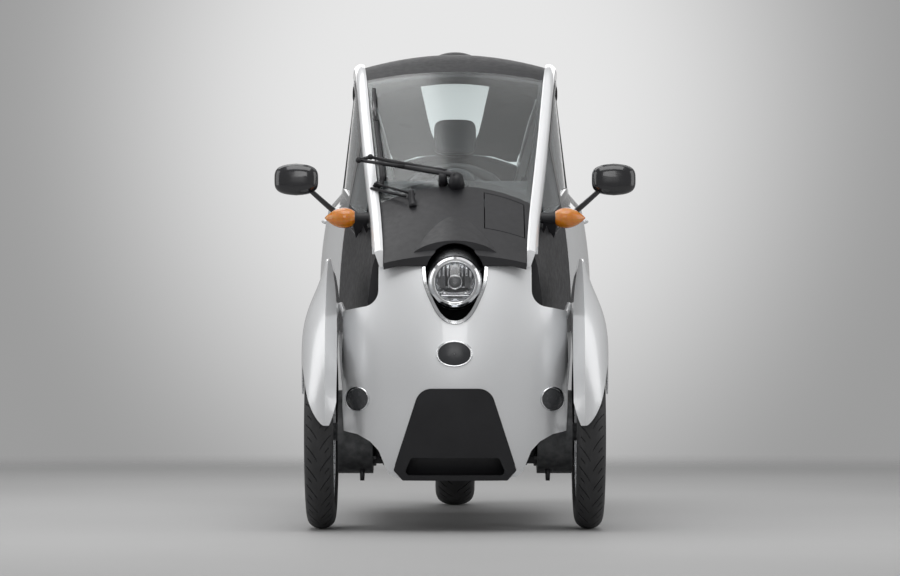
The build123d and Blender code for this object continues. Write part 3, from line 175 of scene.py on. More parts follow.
def pearl(name):
    """White paint with fine mica under a clear coat."""
    g = Graph(name, (0.80, 0.81, 0.825), 0.36, 0.35)
    g.colour(g.noise(1400.0, 2.0), (0.76, 0.775, 0.79), (0.845, 0.85, 0.86))
    g.rough(g.noise(5.0), 0.33, 0.41)
    g.bump(g.noise(900.0, 1.0), 0.00001, 0.25)
    return g.set(Coat_Weight=1.0, Coat_Roughness=0.03, Coat_IOR=1.5)


def satin_plastic(name, colour, roughness, grain=1.0):
    g = Graph(name, colour, roughness)
    lighter = tuple(c * 1.35 + 0.004 for c in colour)
    g.colour(g.spread(g.noise(7.0, 5.0)), colour, lighter)
    g.rough(g.noise(60.0, 4.0), roughness - 0.05, roughness + 0.07)
    g.bump(g.cells(1500.0), 0.00006 * grain, 0.5)
    return g.set(Specular_IOR_Level=0.35).material


def gloss_black():
    g = Graph("gloss_black", (0.012, 0.012, 0.014), 0.16)
    g.colour(g.spread(g.noise(4.0)), (0.010, 0.010, 0.012), (0.020, 0.020, 0.023))
    g.rough(g.noise(12.0, 4.0), 0.12, 0.22)
    return g.set(Coat_Weight=0.6, Coat_Roughness=0.05).material


def bright_trim():
    g = Graph("bright_trim", (0.78, 0.79, 0.81), 0.09, 1.0)
    g.colour(g.spread(g.noise(30.0)), (0.70, 0.71, 0.73), (0.86, 0.87, 0.88))
    g.rough(g.noise(80.0, 4.0), 0.06, 0.13)
    return g.material


def lamp_metal():
    """The lamp body's smooth satin metal."""
    g = Graph("lamp_metal", (0.58, 0.59, 0.61), 0.26, 1.0)
    g.colour(g.spread(g.noise(4.0)), (0.54, 0.55, 0.57), (0.62, 0.63, 0.65))
    g.rough(g.noise(12.0, 3.0), 0.22, 0.30)
    return g.material


def metal(name, dark, light, roughness, metallic=0.9, streak=(1, 1, 1)):
    g = Graph(name, dark, roughness, metallic)
    g.colour(g.spread(g.noise(40.0, 6.0, streak)), dark, light)
    g.rough(g.noise(90.0, 5.0, streak), roughness - 0.07, roughness + 0.1)
    g.bump(g.noise(700.0, 3.0), 0.00004, 0.5)
    return g.material


def glass(name, tint, deeper=None, change=(0.0, 0.0), haze=0.0):
    """A thin clear pane with a glossy face. From the first y of change to the second it turns deeper."""
    g = Graph(name, tint, 0.0)
    light = tuple(min(1.0, c * 1.03) for c in tint)
    own = g.blend(g.spread(g.noise(2.0)), tint, light)
    if deeper:
        own = g.blend(g.spread(g.along("Y"), 0.0, 1.0, *change), own, deeper)
    g.base(own)
    g.set(Transmission_Weight=1.0, IOR=1.01, Coat_Weight=1.0, Coat_Roughness=haze, Coat_IOR=1.5)
    return g.material


BELT_Z = 0.8965
BELT_BENDS = [
    # shift of y, factor of the product of the shifted y so far
    (0.54, 0.1655),
    (0.32, -0.305),
    (-0.08, 0.466),
]
FRAME_BLACK = (0.012, 0.012, 0.013)


def two_tone_paint():
    """The body's white up to the belt line, and satin black for the window frame above it."""
    g = pearl("two_tone_paint")
    over = g.calc("SUBTRACT", g.along("Z"), BELT_Z)
    product = 1.0
    for shift, factor in BELT_BENDS:
        product = g.calc("MULTIPLY", g.calc("ADD", g.along("Y"), shift), product)
        over = g.calc("SUBTRACT", over, g.calc("MULTIPLY", product, factor))
    white = g.shader.inputs["Base Color"].links[0].from_socket
    return g.base(g.blend(g.calc("GREATER_THAN", over, 0.0), white, FRAME_BLACK)).material


def lens(name, colour, deep, rib_scale):
    g = Graph(name, colour, 0.12)
    g.colour(g.spread(g.waves(rib_scale, "X"), 0.0, 1.0, 0.2, 0.8), deep, colour)
    g.bump(g.waves(rib_scale, "X"), 0.0006, 0.6)
    return g.set(Coat_Weight=1.0, Coat_Roughness=0.02, Transmission_Weight=0.25,
                 Subsurface_Weight=0.3, Subsurface_Scale=0.01).material


def rubber(name, colour, roughness):
    g = Graph(name, colour, roughness)
    g.colour(g.spread(g.noise(25.0, 6.0)), colour, tuple(c * 1.7 for c in colour))
    g.rough(g.noise(50.0, 4.0), roughness - 0.08, roughness + 0.08)
    g.bump(g.noise(900.0, 3.0), 0.00008, 0.6)
    return g.material


THREADS = 330.0


def fabric(name, dark, light):
    """Woven cloth with a soft crumple."""
    g = Graph(name, dark, 0.85)
    weave = g.calc("MULTIPLY", g.waves(THREADS, "X"), g.waves(THREADS, "Z"))
    g.colour(g.spread(weave, 0.0, 1.0, 0.0, 0.8), dark, light)
    g.bump(weave, 0.0005, 0.7)
    g.bump(g.noise(22.0, 4.0), 0.002, 0.25)
    return g.set(Sheen_Weight=0.4, Sheen_Roughness=0.5).material


def mirror_face():
    g = Graph("mirror_face", (0.85, 0.87, 0.88), 0.02, 1.0)
    g.colour(g.spread(g.noise(4.0)), (0.82, 0.84, 0.86), (0.88, 0.9, 0.9))
    return g.material


MATERIALS = {
    "white_paint": pearl("white_paint").material,
    "satin_black": satin_plastic("satin_black", (0.014, 0.014, 0.016), 0.42),
    "roof_black": satin_plastic("roof_black", (0.022, 0.022, 0.024), 0.50),
    "two_tone_paint": two_tone_paint(),
    "gloss_black": gloss_black(),
    "satin_grey": satin_plastic("satin_grey", (0.10, 0.103, 0.108), 0.34, 0.5),
    "bright_trim": bright_trim(),
    "dark_badge": satin_plastic("dark_badge", (0.03, 0.031, 0.034), 0.2, 0.3),
    "grey_lens": satin_plastic("grey_lens", (0.055, 0.057, 0.06), 0.25, 0.4),
    "clear_glass": glass("clear_glass", (0.97, 0.98, 0.985)),
    "tinted_glass": glass("tinted_glass", (0.88, 0.93, 0.93)),
    "screen_glass": glass("screen_glass", (0.86, 0.91, 0.91), haze=0.22),
    "lamp_metal": lamp_metal(),
    "side_glass": glass("side_glass", (0.80, 0.87, 0.90), (0.02, 0.022, 0.024), (0.10, 0.12)),
    "amber_lens": lens("amber_lens", (1.0, 0.40, 0.015), (0.70, 0.16, 0.004), 90.0),
    "red_lens": lens("red_lens", (0.55, 0.01, 0.012), (0.28, 0.005, 0.006), 120.0),
    "mirror_face": mirror_face(),
    "chassis_black": satin_plastic("chassis_black", (0.022, 0.022, 0.024), 0.55, 2.0),
    "battery_case": metal("battery_case", (0.16, 0.17, 0.18), (0.22, 0.23, 0.24), 0.5, 0.3),
    "dash_plastic": satin_plastic("dash_plastic", (0.06, 0.062, 0.066), 0.55, 2.5),
    "wheel_rubber": rubber("wheel_rubber", (0.02, 0.02, 0.021), 0.5),
    "seat_fabric": fabric("seat_fabric", (0.07, 0.075, 0.08), (0.16, 0.165, 0.175)),
    "chassis_steel": metal("chassis_steel", (0.018, 0.018, 0.02), (0.035, 0.035, 0.038), 0.4, 0.4),
    "cast_alloy": metal("cast_alloy", (0.06, 0.062, 0.065), (0.13, 0.132, 0.135), 0.45, 0.8),
    "wheel_alloy": metal("wheel_alloy", (0.62, 0.63, 0.65), (0.72, 0.73, 0.74), 0.28, 0.6),
    "tyre_rubber": rubber("tyre_rubber", (0.018, 0.018, 0.019), 0.62),
}


def finish_node(obj, slot):
    obj.data.materials.clear()
    obj.data.materials.append(MATERIALS[slot])


OWN_FINISH = {
    "roof_panel": "roof_black",
    "tail_deck": "roof_black",
    "windscreen": "screen_glass",
    "headlamp_housing": "lamp_metal",
    "side_glasses": "side_glass",
    "door_glass_left": "side_glass",
    "door_glass_right": "side_glass",
    "door_panel_left": "two_tone_paint",
    "door_panel_right": "two_tone_paint",
}
for part in frame["record"]["subparts"]:
    finish_node(NODES[part["node"]], OWN_FINISH.get(part["node"], part["material_slot"]))


# ------------------------------------------------------------------ shape helpers
FRONT_AXLE_Y = -0.870
PHOTO_SIZE = (900, 576)
PHOTO_CENTRE_X = 455.0
PHOTO_HORIZON_Y = 363.0
PHOTO_FOCAL = 3517.0
CAMERA_PLACE = Vector((0.0, FRONT_AXLE_Y - 10.0, 0.470))
CLEAR_OF_CAR = 2.0
SIDES = [(-1, "left"), (1, "right")]


def at(d):
    """The y of a place d metres behind the front axle."""
    return FRONT_AXLE_Y + d


def linked(name, data):
    """A new object in the scene."""
    obj = bpy.data.objects.new(name, data)
    bpy.context.scene.collection.objects.link(obj)
    return obj


def make_mesh(name, vertices, faces):
    """A smooth-shaded mesh with its doubled points joined and its faces turned outwards."""
    mesh = bpy.data.meshes.new(name)
    mesh.from_pydata([tuple(v) for v in vertices], [], faces)
    shape = bmesh.new()
    shape.from_mesh(mesh)
    bmesh.ops.remove_doubles(shape, verts=shape.verts, dist=1e-6)
    bmesh.ops.recalc_face_normals(shape, faces=shape.faces)
    return shaded(name, mesh, shape)


def shaded(name, mesh, shape):
    """The shape written into the mesh, smooth-shaded, as an object."""
    shape.to_mesh(mesh)
    shape.free()
    for polygon in mesh.polygons:
        polygon.use_smooth = True
    return linked(name, mesh)


def crisp(obj, degrees=35):
    """Keeps the edges that turn by more than this sharp in the smooth shading."""
    obj.data.set_sharp_from_angle(angle=math.radians(degrees))
    return obj


def finish(obj, slot, body="body", *replaced):
    """Gives a new piece its material and body, and hides the CAD nodes that it stands for."""
    obj.data.materials.append(MATERIALS[slot])
    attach(obj, body)
    if replaced:
        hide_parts(*replaced)
    return obj


def skin(name, rows, closed_rows=False, closed_columns=False, caps=False):
    """A surface through rows of points, each row as long as the next."""
    count, width = len(rows), len(rows[0])
    faces = []
    for i in range(count if closed_rows else count - 1):
        for j in range(width if closed_columns else width - 1):
            near, far = i * width, (i + 1) % count * width
            after = (j + 1) % width
            faces.append((near + j, near + after, far + after, far + j))
    if caps:
        faces += [tuple(range(width)), tuple(range((count - 1) * width, count * width))]
    return make_mesh(name, [point for row in rows for point in row], faces)


def rings(name, rows):
    """A surface through closed rings of points."""
    return skin(name, rows, closed_columns=True)


def joined(name, objects):
    """Several meshes as one."""
    vertices, faces = [], []
    for obj in objects:
        start = len(vertices)
        vertices += [v.co.copy() for v in obj.data.vertices]
        faces += [tuple(start + i for i in p.vertices) for p in obj.data.polygons]
        bpy.data.objects.remove(obj)
    return make_mesh(name, vertices, faces)


def turns(steps):
    """Angles evenly round a circle."""
    return [2 * math.pi * i / steps for i in range(steps)]


def oval(lay, centre, half, steps):
    """Points round an oval, each put in its place by lay."""
    return [lay(centre[0] + half[0] * math.cos(a), centre[1] + half[1] * math.sin(a)) for a in turns(steps)]


def circle(centre, side, other, radius, steps):
    """Points round a centre, in the plane of side and other."""
    return [centre + (side * math.cos(a) + other * math.sin(a)) * radius for a in turns(steps)]


def turned(name, profile, centre, axis, steps=64):
    """A profile of (along, radius) turned about an axis through centre."""
    along = Vector(axis).normalized()
    side = along.orthogonal().normalized()
    other = along.cross(side)
    return skin(name, [circle(Vector(centre) + along * reach, side, other, radius, steps)
                       for reach, radius in profile], closed_columns=True)


def smooth_path(points, steps=6):
    """A flowing line through the points."""
    points = [Vector(p) for p in points]
    ends = [points[0] * 2 - points[1], *points, points[-1] * 2 - points[-2]]
    path = []
    for before, start, end, after in zip(ends, ends[1:], ends[2:], ends[3:]):
        for i in range(steps):
            t = i / steps
            path.append(0.5 * (2 * start + (end - before) * t
                               + (2 * before - 5 * start + 4 * end - after) * t ** 2
                               + (3 * start - before - 3 * end + after) * t ** 3))
    return path + [points[-1]]


def tube(name, points, radii, sides=16, flat=1.0, closed=False):
    """A round bar along a line. radii is one radius or (first, last), and flat squashes it upright."""
    points = [Vector(p) for p in points]
    first, last = radii if isinstance(radii, tuple) else (radii, radii)
    count = len(points)
    up = Vector((0, 0, 1))
    rows = []
    for i, point in enumerate(points):
        before = points[(i - 1) % count] if closed or i else point
        after = points[(i + 1) % count] if closed or i < count - 1 else point
        run = (after - before).normalized()
        side = run.cross(up if abs(run.z) < 0.95 else Vector((0, 1, 0))).normalized()
        other = side.cross(run)
        radius = first + (last - first) * i / max(count - 1, 1)
        rows.append(circle(point, side * radius, other * radius * flat, 1.0, sides))
    return skin(name, rows, closed_rows=closed, closed_columns=True, caps=not closed)


SURFACES = {}


def tree_of(mesh):
    return BVHTree.FromPolygons([v.co for v in mesh.vertices], [tuple(p.vertices) for p in mesh.polygons])


def met(node, start, run, lift=0.0):
    """The place where a line from start meets a CAD node, raised by lift towards start."""
    if node not in SURFACES:
        SURFACES[node] = tree_of(NODES[node].data)
    run = Vector(run)
    place, normal, _, _ = SURFACES[node].ray_cast(Vector(start), run)
    if place is None:
        return None
    return place + (-normal if normal.dot(run) > 0 else normal) * lift


def seen(px, py, node, lift=0.0):
    """The place on a CAD node under a point of the front view."""
    sight = Vector((px - PHOTO_CENTRE_X, PHOTO_FOCAL, PHOTO_HORIZON_Y - py)).normalized()
    return met(node, CAMERA_PLACE, sight, lift)


def above(x, y, node, lift=0.0):
    """The place on top of a CAD node at x and y."""
    return met(node, (x, y, CLEAR_OF_CAR), (0, 0, -1), lift)


def beside(side, d, z, node, lift=0.0):
    """The place on a CAD node's left or right side."""
    return met(node, (side * CLEAR_OF_CAR, at(d), z), (-side, 0, 0), lift)


def ahead(x, z, node, lift=0.0):
    """The place on the front of a CAD node at x and z."""
    return met(node, (x, -CLEAR_OF_CAR, z), (0, 1, 0), lift)


# ------------------------------------------------------------------ tyres
FRONT_TYRE_PROFILE = [
    (0.0, 0.2748), (0.011, 0.2738), (0.021, 0.2702), (0.030, 0.2640), (0.0362, 0.2560),
    (0.0396, 0.2460), (0.0408, 0.2350), (0.0398, 0.2240), (0.0372, 0.2150), (0.0338, 0.2085),
    (0.0328, 0.2062),
]
REAR_TYRE_PROFILE = [
    (0.0, 0.2378), (0.019, 0.2368), (0.037, 0.2325), (0.051, 0.2240), (0.0600, 0.2110),
    (0.0642, 0.1950), (0.0648, 0.1780), (0.0630, 0.1600), (0.0600, 0.1450), (0.0575, 0.1360),
    (0.0570, 0.1322),
]
GROOVE_ROWS = [
    # share of a pitch from the groove's middle, share of its depth
    (-0.034, 0.0), (-0.024, 1.0), (0.024, 1.0), (0.034, 0.0),
]
GROOVE_SWEEP = 0.95
GROOVE_BEND = 0.62


def fine_profile(profile, steps=3):
    """Half a profile, smoothed and mirrored about its crown."""
    half = [(p.x, p.y) for p in smooth_path([(x, r, 0.0) for x, r in profile], steps)]
    return [(-x, r) for x, r in reversed(half[1:])] + half


def groove_depth(phase, across):
    """1 in a groove and 0 beside it: long and short slanted grooves take turns on the two sides."""
    reach = abs(across)
    own_phase = phase if across > 0 else (phase + 0.5) % 1.0
    start, end = (0.16, 0.90) if own_phase < 0.25 or own_phase > 0.75 else (0.50, 0.82)
    return 1.0 if start < reach < end else 0.0


def tyre(name, centre, profile, pitches, groove, body, node):
    """A tyre with a directional tread of slanted grooves."""
    columns = fine_profile(profile)
    tread_half = profile[4][0]
    phases = []
    for base in (0.0, 0.5):
        phases += [(base + shift, deep) for shift, deep in GROOVE_ROWS]
        phases += [(base + 0.17, 0.0), (base + 0.33, 0.0)]
    rows = []
    for pitch in range(pitches):
        for phase, deep in phases:
            row = []
            for x, radius in columns:
                across = max(-1.0, min(1.0, x / tread_half))
                sweep = GROOVE_SWEEP * abs(across) ** GROOVE_BEND
                angle = (pitch + phase + sweep) * 2 * math.pi / pitches
                cut = deep * groove_depth(phase % 1.0, across) if abs(x) < tread_half else 0.0
                r = radius - groove * cut
                row.append((centre[0] + x, centre[1] - r * math.sin(angle), centre[2] - r * math.cos(angle)))
            rows.append(row)
    obj = crisp(skin(name, rows, closed_rows=True), 28)
    return finish(obj, "tyre_rubber", body, node)


FRONT_WHEEL_X = 0.3785
FRONT_WHEEL_Z = 0.275
REAR_WHEEL_Z = 0.238
WHEELBASE = 1.7
for side, name in SIDES:
    tyre(f"tread_{name}", (side * FRONT_WHEEL_X, at(0), FRONT_WHEEL_Z), FRONT_TYRE_PROFILE, 28, 0.0034,
         f"front_wheel_{name}", f"front_tyre_{name}")
tyre("tread_rear", (0.0, at(WHEELBASE), REAR_WHEEL_Z), REAR_TYRE_PROFILE, 22, 0.0045,
     "rear_wheel", "rear_tyre")


RIM_FACE_X = 0.0275
BEAD_R = 0.206
LIP_PROFILE = [
    # along, how far inside the bead
    (-0.006, 0.008), (-0.002, 0.004), (0.0, 0.007), (-0.001, 0.011), (-0.010, 0.013),
]
CAP_PROFILE = [(-0.004, 0.040), (0.002, 0.040), (0.007, 0.036), (0.010, 0.026), (0.011, 0.012), (0.0115, 0.0)]
BOLT_PROFILE = [(-0.004, 0.0045), (0.004, 0.0045), (0.005, 0.0035), (0.005, 0.0)]
BOLT_CIRCLE_R = 0.028


def wheel_dress(name, centre, side, body):
    """The hub cap, its bolts, the rim's rolled lip and the valve."""
    hub_x, y, z = centre
    out = (side, 0, 0)
    face_x = hub_x + side * RIM_FACE_X
    lip_profile = [(along, BEAD_R - inside) for along, inside in LIP_PROFILE]
    lip = turned(f"{name}_lip", lip_profile, (face_x + side * 0.0055, y, z), out, 96)
    finish(lip, "wheel_alloy", body)
    cap = turned(f"{name}_cap", CAP_PROFILE, (face_x, y, z), out, 48)
    finish(cap, "wheel_alloy", body)
    bolts = []
    for i in range(5):
        angle = 2 * math.pi * (i + 0.25) / 5
        back, up = BOLT_CIRCLE_R * math.cos(angle), BOLT_CIRCLE_R * math.sin(angle)
        place = (hub_x + side * 0.034, y + back, z + up)
        bolts.append(turned("bolt", BOLT_PROFILE, place, out, 6))
    finish(crisp(joined(f"{name}_bolts", bolts)), "cast_alloy", body)
    stem = [(face_x - side * 0.018, y - BEAD_R + 0.018, z), (face_x + side * 0.004, y - BEAD_R + 0.034, z)]
    finish(tube(f"{name}_valve", stem, (0.004, 0.003), 12), "wheel_rubber", body)


for side, name in SIDES:
    wheel_dress(f"wheel_{name}", (side * FRONT_WHEEL_X, at(0), FRONT_WHEEL_Z), side, f"front_wheel_{name}")


# ------------------------------------------------------------------ headlamp
LAMP_Y = at(-0.262)
LAMP_Z = 0.694


LAMP_CAP_PROFILE = [(0.0, 0.0), (0.0010, 0.008), (0.004, 0.0135), (0.010, 0.0155), (0.030, 0.0155)]
LAMP_CAP_RING = [(0.0, 0.0165), (-0.002, 0.0185), (0.0, 0.0205), (0.004, 0.0205)]
LAMP_BEZEL = [(0.010, 0.0535), (0.004, 0.0548), (0.001, 0.0565), (0.0005, 0.0585), (0.003, 0.0600)]
LAMP_SHELF = [
    # depth, height
    (0.034, -0.034), (0.012, -0.0355), (0.010, -0.037), (0.012, -0.0385), (0.034, -0.040),
]
LAMP_LOWER_DARK = [
    # height, share of the half-width
    (-0.039, 0.72), (-0.045, 0.60), (-0.050, 0.40), (-0.0535, 0.10),
]
LAMP_SIDE_DARK = [(0.027, -0.016), (0.049, -0.016), (0.051, 0.004), (0.049, 0.018), (0.027, 0.018)]
BOWL_R = 0.0545
BOWL_DEPTH = 0.050
BOWL_RISE = 0.034
FLUTE_PITCH = 0.0115
FACET_PITCH = 0.017
BACKWARD = (0, 1, 0)


def lamp_place(x, depth, z):
    """A place x and z from the lens's middle, depth behind it."""
    return (x, LAMP_Y + depth, LAMP_Z + z)


def ramp(value, start, length):
    """0 up to start, and 1 from length beyond it."""
    return min(1.0, max(0.0, (value - start) / length))


def bowl_row(reach):
    """A ring of the bowl: upright flutes in its upper half and level facets in the lower."""
    row = []
    for angle in turns(180):
        x, z = BOWL_R * reach * math.cos(angle), BOWL_R * reach * math.sin(angle)
        flute = 0.0022 * math.cos(x * 2 * math.pi / FLUTE_PITCH) * ramp(z, 0.006, 0.012)
        facet = 0.0016 * math.cos(z * 2 * math.pi / FACET_PITCH) * ramp(-z, 0.0, 0.010)
        depth = BOWL_DEPTH - BOWL_RISE * reach ** 2
        row.append(lamp_place(x, depth + (flute + facet) * min(1.0, reach * 2.5), z))
    return row


def headlamp_inside():
    """The fluted bowl, the bulb's cap, the shelf below it and the bezel round the lens."""
    bowl = rings("headlamp_bowl", [bowl_row(i / 14) for i in range(15)])
    finish(bowl, "bright_trim")
    cap = turned("headlamp_bulb_cap", LAMP_CAP_PROFILE, lamp_place(0, 0.014, 0.001), BACKWARD, 48)
    finish(cap, "satin_grey")
    ring = turned("headlamp_cap_ring", LAMP_CAP_RING, lamp_place(0, 0.026, 0.001), BACKWARD, 48)
    finish(ring, "bright_trim")
    shelf = [[lamp_place(x, y, z) for x in (-0.038, -0.019, 0.0, 0.019, 0.038)] for y, z in LAMP_SHELF]
    finish(skin("headlamp_shelf", shelf), "bright_trim")
    lower = [[lamp_place(0.050 * c, 0.026, z) for c in (-s, -s / 2, 0, s / 2, s)] for z, s in LAMP_LOWER_DARK]
    finish(skin("headlamp_lower_dark", lower), "satin_grey")
    for side, name in SIDES:
        block = [lamp_place(side * x, 0.021 + 0.008 * abs(x) / 0.05, z) for x, z in LAMP_SIDE_DARK]
        dark = make_mesh(f"headlamp_side_dark_{name}", block, [(0, 1, 2, 3, 4)])
        finish(dark, "satin_grey")
        line = [lamp_place(side * 0.030, 0.020, -0.021), lamp_place(side * 0.041, 0.018, -0.031)]
        finish(tube(f"headlamp_ray_{name}", line, (0.0008, 0.0016), 8), "bright_trim")
    bezel = turned("headlamp_bezel", LAMP_BEZEL, lamp_place(0, 0.001, 0), BACKWARD, 96)
    finish(bezel, "bright_trim")


headlamp_inside()


# ------------------------------------------------------------------ blank oval badge
BADGE_CENTRE = (454.3, 354.0)
BADGE_HALF = (18.5, 13.2)


def badge_ring(share, lift):
    """A ring on the nose at a share of the badge's size."""
    half = [reach * share for reach in BADGE_HALF]
    return oval(lambda x, y: seen(x, y, "nose_panel", lift), BADGE_CENTRE, half, 72)


def oval_badge():
    """A plain dark oval in a bright rim, with nothing on it."""
    rim = [badge_ring(*row) for row in
           ((1.0, 0.0002), (0.99, 0.0035), (0.95, 0.0050), (0.89, 0.0045), (0.87, 0.0018))]
    finish(rings("badge_rim", rim), "bright_trim")
    face = [badge_ring(*row) for row in ((0.88, 0.0020), (0.60, 0.0032), (0.30, 0.0038), (0.02, 0.0040))]
    finish(rings("badge_face", face), "dark_badge")


oval_badge()


# ------------------------------------------------------------------ wiper and washer
BLADE_LINE = [
    # a point of the blade in the front view
    (374.6, 92), (375.2, 108), (376.6, 124), (378.6, 140), (380.8, 156), (382.6, 170), (383.6, 184),
]
RUBBER_LINE = [(374.6, 91), *BLADE_LINE[1:-1], (383.4, 182)]


def by(place, x, y, z):
    """A place moved by x, y and z."""
    return place + Vector((x, y, z))


def wiper_arms(pivot, upper, lower):
    """Two parallel arms from the pivot's bosses to the joints at the pillar, and the link between them."""
    thick_end = by(pivot.lerp(lower, 0.52), 0, -0.004, 0.004)
    main = [by(pivot, 0, -0.006, 0.004), by(pivot.lerp(thick_end, 0.12), 0, 0, 0.006), thick_end]
    second = [by(pivot, -0.030, 0.010, 0.016), by(pivot.lerp(upper, 0.55), 0, 0, 0.004), upper]
    boss = [by(pivot, 0, -0.020, -0.002), by(pivot, 0, 0.004, -0.012), by(pivot, 0, 0.024, -0.030)]
    small_boss = [by(pivot, -0.040, -0.004, 0.008), by(pivot, -0.038, 0.022, -0.016)]
    parts = [
        tube("arm", main, (0.0150, 0.0100), 16, 0.7),
        tube("arm", [thick_end, lower], (0.0065, 0.0044), 12),
        tube("arm", second, (0.0095, 0.0046), 12),
        tube("joint", [by(lower, 0, -0.010, 0), by(lower, 0, 0.012, 0)], 0.0085, 20),
        tube("joint", [by(upper, 0, -0.008, 0), by(upper, 0, 0.012, 0)], 0.0080, 20),
        tube("link", [lower, upper], 0.0055, 12),
        tube("boss", boss, (0.019, 0.026), 28),
        tube("boss", small_boss, (0.011, 0.014), 24),
    ]
    finish(joined("wiper_arms", parts), "satin_black", "body", "wiper")


def wiper_blade():
    """The long blade up the screen's side. Returns the end of the hook at its foot."""
    line = [seen(px, py, "windscreen", 0.012) for px, py in BLADE_LINE]
    holder = tube("wiper_blade", smooth_path(line, 4), (0.0055, 0.0085), 12, 0.8)
    finish(holder, "satin_black")
    edge = [seen(px - 1.0, py, "windscreen", 0.004) for px, py in RUBBER_LINE]
    finish(tube("wiper_rubber", smooth_path(edge, 4), 0.0028, 8), "wheel_rubber")
    clip = [by(line[1], -0.004, -0.004, 0.006), by(line[2], 0.002, -0.002, 0)]
    finish(tube("wiper_clip", clip, 0.0072, 10), "gloss_black")
    foot = line[-1]
    hook = [foot, by(foot, -0.004, -0.004, -0.010), by(foot, -0.015, -0.008, -0.013),
            by(foot, -0.022, -0.010, -0.008)]
    finish(tube("wiper_hook", smooth_path(hook, 5), (0.0075, 0.0095), 12), "satin_black")
    return hook[-1]


def washer(hook_end):
    """The two rods from the blade's hook and the nozzle that they hold."""
    rod_low = seen(412, 199, "cowl_panel", 0.012)
    rods = [
        tube("rod", [hook_end, by(rod_low, 0.010, 0, 0.004)], 0.0036, 8),
        tube("rod", [by(hook_end, -0.010, -0.004, -0.014), by(rod_low, -0.016, -0.006, -0.002)], 0.0040, 8),
    ]
    finish(joined("washer_rods", rods), "satin_black")
    nozzle = [seen(413, 207, "cowl_panel", 0.002), seen(412.6, 203, "cowl_panel", 0.010),
              by(rod_low, 0, -0.004, 0.014)]
    finish(tube("washer_nozzle", smooth_path(nozzle, 4), (0.0110, 0.0085), 14), "satin_black")


def wiper():
    """The arms, the blade they carry and the washer at its foot."""
    upper = by(seen(390, 166, "windscreen", 0.034), -0.047, -0.006, 0)
    lower = by(seen(390, 168.5, "windscreen", 0.028), -0.082, -0.016, 0.002)
    wiper_arms(Vector((0.004, at(0.050), 1.000)), upper, lower)
    washer(wiper_blade())


wiper()


# ------------------------------------------------------------------ mirrors and signal stalks
def rounded_ring(centre, half_w, half_h, y, power, steps=48):
    """A rounded oblong in a plane across the car, a little lower at its ends."""
    ring = []
    for a in turns(steps):
        c, s = math.cos(a), math.sin(a)
        x = math.copysign(abs(c) ** (2 / power), c) * half_w
        z = math.copysign(abs(s) ** (2 / power), s) * half_h
        ring.append(Vector((centre[0] + x, y, centre[1] + z * (1.0 - 0.10 * abs(x) / max(half_w, 0.001)))))
    return ring


MIRROR_RINGS = [
    # behind the mirror's middle, half-width, half-height
    (-0.0226, 0.0, 0.0), (-0.0225, 0.010, 0.006), (-0.0222, 0.030, 0.020), (-0.0200, 0.045, 0.031),
    (-0.0140, 0.056, 0.0395),
    (-0.0050, 0.0620, 0.0450), (0.0060, 0.0630, 0.0458), (0.0150, 0.0625, 0.0452), (0.0190, 0.0600, 0.0430),
    (0.0175, 0.0570, 0.0400),
]


MIRROR_POWER = 3.4
MIRROR_X = 0.456
MIRROR_Z = 0.997
SIGNAL_Z = 0.884
MIRROR_Y = at(0.090)
SIGNAL_Y = at(0.040)
BALL_PROFILE = [(-0.012, 0.0), (-0.009, 0.007), (0.0, 0.0105), (0.009, 0.007), (0.012, 0.0)]
COLLAR_PROFILE = [(-0.006, 0.0), (-0.006, 0.0178), (0.0, 0.0192), (0.0025, 0.0186), (0.0025, 0.0)]
FIN_POINTS = [
    # out from the middle, back, up
    (0.250, -0.012, 0.878), (0.292, -0.010, 0.872), (0.283, 0.002, 0.826), (0.262, 0.010, 0.862),
    (0.252, 0.012, 0.838),
]


def mirror(side, name):
    """The shell, its glass, and the ball, stalk and boot that hold it."""
    centre = (side * MIRROR_X, MIRROR_Z)
    shell_rows = [rounded_ring(centre, w, h, MIRROR_Y + y, MIRROR_POWER) for y, w, h in MIRROR_RINGS]
    shell = rings(f"mirror_shell_{name}", shell_rows)
    finish(shell, "gloss_black", "body", "mirrors_and_stalks")
    glass_rows = [rounded_ring(centre, 0.0572 * share, 0.0402 * share, MIRROR_Y + 0.0172, MIRROR_POWER)
                  for share in (1.0, 0.6, 0.2, 0.01)]
    finish(rings(f"mirror_glass_{name}", glass_rows), "mirror_face")
    foot = Vector((side * 0.286, at(0.130), 0.862))
    knuckle = Vector((side * 0.418, MIRROR_Y + 0.004, 0.968))
    line = smooth_path([foot, by(foot.lerp(knuckle, 0.45), side * 0.006, -0.010, 0), knuckle], 8)
    stalk = tube("stalk", line, (0.0095, 0.0070), 16)
    ball = turned("ball", BALL_PROFILE, knuckle, (side, 0, 0.8), 24)
    boot_line = [by(foot, -side * 0.012, 0.004, -0.010), foot, by(foot, side * 0.014, -0.004, 0.011)]
    boot = tube("boot", boot_line, (0.020, 0.0115), 20)
    finish(joined(f"mirror_stalk_{name}", [stalk, ball, boot]), "gloss_black")


def signal_stalk(side, name):
    """The turn signal's arm with its collar and the fin below."""
    lens_base = Vector((side * 0.285, SIGNAL_Y, SIGNAL_Z))
    signal = tube("stalk", [(side * 0.246, SIGNAL_Y, SIGNAL_Z), lens_base], (0.0155, 0.0165), 24)
    collar = turned("collar", COLLAR_PROFILE, lens_base, (side, 0, 0), 32)
    faces = [[(side * x, SIGNAL_Y + y + shift, z) for x, y, z in FIN_POINTS] for shift in (-0.004, 0.004)]
    fin = skin("fin", faces, closed_columns=True, caps=True)
    finish(crisp(joined(f"signal_stalk_{name}", [signal, collar, fin])), "satin_black")


for side, name in SIDES:
    mirror(side, name)
    signal_stalk(side, name)


# ------------------------------------------------------------------ seats
PAD_POWER = 5


